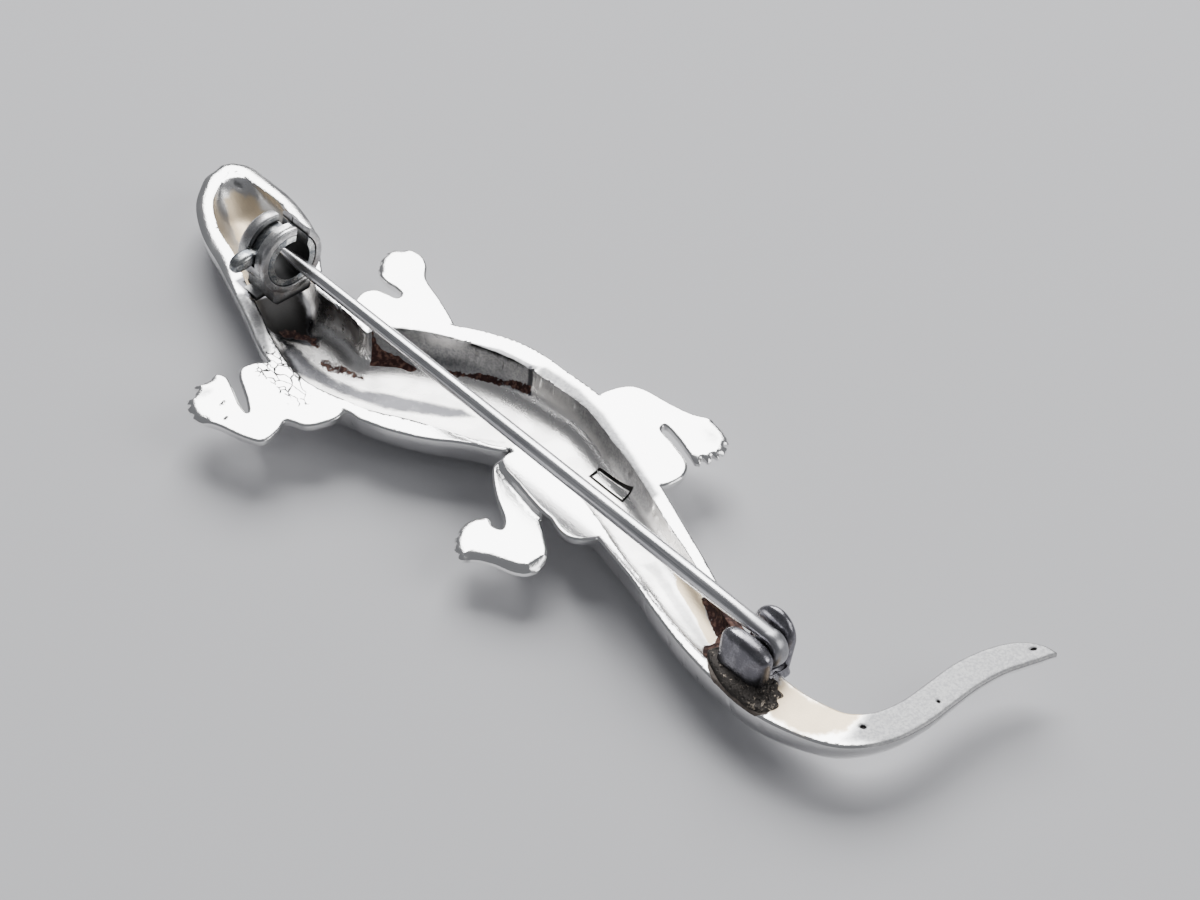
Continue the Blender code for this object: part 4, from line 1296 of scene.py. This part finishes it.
    def triangulate(self) -> tuple[Array, Array, Array]:
        """One triangulation of the plan.

        Returns:
            Plan corners, triangles, and which outlines each triangle lies in.
        """
        rings = self.outlines()
        points, loops, edges = [], [], []
        first = 0
        for ring in rings:
            points.append(ring)
            loops.append(list(range(first, first + len(ring))))
            first += len(ring)
        for brim in self.brims:
            points.append(brim)
            edges += [(first + i, first + i + 1) for i in range(len(brim) - 1)]
            first += len(brim)
        points.append(self.fill_points(rings))
        corners = [Vector(p) for p in np.vstack(points).tolist()]
        plan, _, tris, _, _, homes = delaunay_2d_cdt(corners, edges, loops, 0, 1e-5, True)
        kept = [(tri, home) for tri, home in zip(tris, homes) if home]
        inside = np.zeros((len(kept), len(rings)), bool)
        for row, (_, home) in enumerate(kept):
            inside[row, home] = True
        return np.array([tuple(v) for v in plan]), np.array([tri for tri, _ in kept]), inside

    def hollow_at(self, plan: Array) -> tuple[Array, Array]:
        """Depth of the hollow and of the domed face under each plan point.

        Depth across the hollow is (1 - |t| ** power) ** (1 / power) of its middle depth.
        """
        middle_line = self.spine[:, :2]
        _, piece, share = nearest_on_lines(plan, middle_line[:-1], middle_line[1:])

        def read(column: Array) -> Array:
            """A column between its stations."""
            return column[piece] * (1 - share) + column[piece + 1] * share

        foot = np.column_stack([read(middle_line[:, 0]), read(middle_line[:, 1])])
        sideways = np.column_stack([read(self.sideways[:, 0]), read(self.sideways[:, 1])])
        offset = ((plan - foot) * sideways).sum(1)
        left, right, deep = read(self.left_in), read(self.right_in), read(self.spine[:, 6])
        reach = np.maximum((left + right) / 2, 1e-3)
        across = np.abs((offset - (left - right) / 2) / reach)
        arch = np.maximum(1 - across ** self.hollow_power, 0) ** (1 / self.hollow_power)
        head = ramp(foot[:, 0], *self.head_soft)
        soft = 0.5 + 0.5 * np.cos(math.pi * np.clip(across, 0, 1))
        end = slope_down(foot[:, 0], *self.nose_end)
        bowl = arch * (1 - head) + (0.62 * arch + 0.38 * soft ** 0.7) * head
        hollow = deep * self.hollow_depth * bowl * np.sin(0.5 * math.pi * end) ** 1.3
        hollow[(reach < 0.25) | (deep < 0.01)] = 0.0
        cosine = np.clip(np.abs(offset) / read(self.half), 0, 1) ** (self.dome_power / 2)
        sine = np.sqrt(1 - cosine ** 2) ** (2 / self.dome_power)
        dome = read(self.spine[:, 3]) * self.relief * np.minimum(sine, self.ridge_flat) / self.ridge_flat
        return hollow, dome

    def build(self) -> Thing:
        """The whole casting.

        Back height is the back plane less a rounded edge, the hollow, pits and steps;
        the face is the deeper of the body's dome and the legs' crowned plates.

        Returns:
            The casting, replacing the CAD solid.
        """
        plan, tris, inside = self.triangulate()
        count = len(plan)

        def touched(chosen: Array) -> Array:
            """Corners of the chosen triangles."""
            hit = np.zeros(count, bool)
            hit[tris[chosen].ravel()] = True
            return hit

        def border(chosen: Array) -> tuple[Array, Array]:
            """Edges with a chosen triangle on one side only."""
            own = tris[chosen]
            pairs = np.vstack([own[:, [0, 1]], own[:, [1, 2]], own[:, [2, 0]]])
            key = np.sort(pairs, axis=1) @ (count, 1)
            _, place, times = np.unique(key, return_index=True, return_counts=True)
            return tuple(pairs[place[times == 1]].T)

        upper_tri = inside[:, :SHIN].any(1)
        strip, shin = touched(inside[:, 0]), touched(inside[:, SHIN])
        plate, low_shin = touched(inside[:, 1:].any(1)), shin & ~touched(upper_tri)
        top_a, top_b = border(upper_tri)
        out_a, out_b = border(np.ones(len(tris), bool))
        to_top = nearest_on_lines(plan, plan[top_a], plan[top_b])[0]
        to_edge = nearest_on_lines(plan, plan[out_a], plan[out_b])[0]
        hollow, dome = self.hollow_at(plan)
        hollow = np.where(strip, hollow, 0.0)
        to_brim = np.min([nearest_on_lines(plan, brim[:-1], brim[1:])[0] for brim in self.brims], axis=0)
        head = ramp(plan[:, 0], *self.head_edge)
        rounded = fade(to_top, self.edge_round + 0.6 * head) ** 2 * (self.edge_drop + 0.14 * head)
        lip = np.where(strip & (to_brim < self.brim_near) & (hollow < self.lip_drop), self.lip_drop, 0.0)
        drop = rounded + np.maximum(hollow, lip)
        deep = self.shin_depth * slope_down(plan[:, 0], *self.shin_rise) ** 0.7
        ledge = np.maximum(deep - self.edge_drop, 0) * np.clip(to_top / self.ledge_width, 0, 1)
        step = self.edge_drop + ledge + fade(to_edge, self.edge_round) ** 2 * 0.12
        drop = np.where(low_shin, step, drop)
        for pit in PITS:
            drop = drop + self.pit_depth * pit.at(plan)
        drop = drop + self.mark_depth * np.clip(-self.off_panel(plan) / 0.12, 0, 1) + self.toe_slope(plan)
        row = np.array(self.chamfer)
        cut = fade(nearest_on_lines(plan, row[:-1], row[1:])[0], self.chamfer_width)
        drop = drop + np.where(low_shin, self.chamfer_depth * cut, 0.0)
        back = self.back - drop
        crown = self.leg_wall + self.leg_crown * np.sqrt(1 - fade(to_edge, self.crown_reach) ** 2)
        depth = np.max([dome * strip, crown * plate, (self.shin_depth + crown) * shin], axis=0)
        face = np.maximum(np.minimum(self.back - depth, back - self.least_wall), 0.0)
        verts = np.vstack([np.column_stack([plan, back]), np.column_stack([plan, face])])
        wall = np.stack([out_b, out_a, out_a + count, out_b + count], -1)
        faces = tris.tolist() + (tris[:, ::-1] + count).tolist() + wall.tolist()
        masks = self.masks(plan, hollow, drop, to_brim)
        made = make_piece("salamander_casting", verts, faces, "brooch", 33, masks, 1e-9)
        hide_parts("salamander_body")
        return made

    def masks(self, plan: Array, hollow: Array, drop: Array, to_brim: Array) -> dict[Field, Array]:
        """Masks for the silver: the stains and painted shade, the hollow, and pits with the panel's edge.

        Args:
            plan: plan corners.
            hollow: the hollow's depth at each.
            drop: depth of the back under its plane.
            to_brim: distance to the hollow's edges.

        Returns:
            Values for the back's corners and then, at nothing, for the face's.
        """
        pits = np.max([pit.at(plan) for pit in PITS], axis=0)
        pits[plan[:, 0] > self.faint_pits[0]] *= self.faint_pits[1]
        edge = np.exp(-(self.off_panel(plan) / 0.11) ** 2)
        found = {Field.HOLLOW: hollow / self.hollow_depth, Field.PIT: np.maximum(pits, 0.9 * edge)}
        for name, stains in STAINS.items():
            found[name] = np.clip(sum(stain.at(plan) for stain in stains), 0, 1.1)
        # Painted shade: the lip lines keep to the hollow's edges, near the back plane.
        found[Field.LIP] *= fade(to_brim, 0.12) * np.clip(1.2 - drop / 0.3, 0, 1)
        return {name: np.append(value, np.zeros(len(plan))) for name, value in found.items()}

    def off_panel(self, plan: Array) -> Array:
        """Distance outside the blank punched panel, below nothing inside it."""
        return (np.abs(self.mark.local(plan)) - [[self.mark.long], [self.mark.wide]]).max(0)

    def toe_slope(self, plan: Array) -> Array:
        """How far the feet's ends fall away, by a square law within reach of the toes."""
        steps = 6
        fall = np.zeros(len(plan))
        for leg in LEGS:
            if leg.nicks:
                ring = self.smooth_leg(leg, steps)
                first, last = (int(toe * steps) for toe in leg.toes)
                away = nearest_on_lines(plan, ring[first:last], ring[first + 1:last + 1])[0]
                fall = np.maximum(fall, self.toe_fall * fade(away, self.toe_reach) ** 2)
        return fall


@dataclass
class Studio:
    """Pale floor, soft lights and the camera at the photograph's angle. Sizes are in metres."""

    target: tuple = (-0.00228, -0.00719, 0.0)
    eye: tuple = (-0.103397, 0.081503, 0.125434)
    lens: float = 80.0
    floor: tuple = (0.62, 0.62, 0.64)
    world: float = 0.20
    lights: tuple = (
        # name, place, side, watts
        ("back softbox", (0.545, -0.48, 0.675), 0.70, 15.0),
        ("left fill", (-0.35, -0.25, 0.30), 0.30, 1.0),
    )

    def build_floor(self) -> None:
        """A wide plain floor under the brooch."""
        mesh = bpy.data.meshes.new("floor")
        half, under = 1.5, -0.00002
        corners = [(x * half, y * half, under) for x, y in ((-1, -1), (1, -1), (-1, 1), (1, 1))]
        mesh.from_pydata(corners, [], [(0, 1, 3, 2)])
        floor = bpy.data.objects.new("floor", mesh)
        bpy.context.scene.collection.objects.link(floor)
        material = bpy.data.materials.new("plain pale floor")
        material.use_nodes = True
        shader = material.node_tree.nodes["Principled BSDF"]
        shader.inputs["Base Color"].default_value = (*self.floor, 1.0)
        shader.inputs["Roughness"].default_value = 0.75
        mesh.materials.append(material)

    def hang(self, name: str, data: object, place: tuple) -> Thing:
        """A lamp or camera at a place, turned to the target."""
        made = bpy.data.objects.new(name, data)
        made.location = place
        made.rotation_euler = (Vector(self.target) - Vector(place)).to_track_quat("-Z", "Y").to_euler()
        bpy.context.scene.collection.objects.link(made)
        return made

    def build(self) -> None:
        """Floor, lights, world and camera."""
        self.build_floor()
        for name, place, side, watts in self.lights:
            lamp = bpy.data.lights.new(name, "AREA")
            lamp.shape = "RECTANGLE"
            lamp.size = lamp.size_y = side
            lamp.energy = watts
            self.hang(name, lamp, place)
        world = bpy.data.worlds.new("studio grey")
        world.use_nodes = True
        sky = world.node_tree.nodes["Background"]
        sky.inputs["Color"].default_value = (0.93, 0.95, 1.0, 1.0)
        sky.inputs["Strength"].default_value = self.world
        bpy.context.scene.world = world
        camera = bpy.data.cameras.new("camera")
        camera.lens = self.lens
        camera.sensor_width = 36.0
        camera.clip_start, camera.clip_end = 0.001, 10.0
        bpy.context.scene.camera = self.hang("camera", camera, self.eye)


def dress(piece: Thing, material: bpy.types.Material) -> None:
    """Give a piece one material and report it."""
    piece.data.materials.clear()
    piece.data.materials.append(material)
    LOG.info("%s: %d faces, %s", piece.name, len(piece.data.polygons), material.name)


def main() -> None:
    """Build every piece in order, dress it and report it."""
    logging.basicConfig(level=logging.INFO, format="%(message)s")
    silver = CastSilver().material()
    housing = DarkMetal("tumbled catch metal").material()
    steel = DarkMetal("dark sleeve steel", (0.56, 0.57, 0.56), (0.16, 0.175, 0.195), (0.22, 0.36),
                      0.8, 0.008, 0.4).material()
    ears = DarkMetal("tumbled hinge metal", (0.34, 0.335, 0.36), (0.17, 0.167, 0.185), (0.24, 0.34),
                     1.4, 0.024, 0.10).material()
    rivet = DarkMetal("plain rivet wire", (0.50, 0.50, 0.50), (0.34, 0.34, 0.35), (0.25, 0.35),
                      0.6, 0.004, 0.1).material()
    solder = PittedSolder().material()
    wire = DrawnWire().material()
    dress(Casting().build(), silver)
    catch = Catch()
    dress(catch.build_drum(), housing)
    dress(catch.build_foot(), housing)
    dress(catch.build_sleeve(), steel)
    hinge = Hinge()
    for side in Side:
        dress(hinge.build_ear(side), ears)
    dress(hinge.build_foot(), ears)
    dress(hinge.build_solder(), solder)
    dress(hinge.build_pin(), wire)
    dress(frame["nodes"]["hinge_rivet"], rivet)
    Studio().build()


if __name__ == "__main__":
    main()
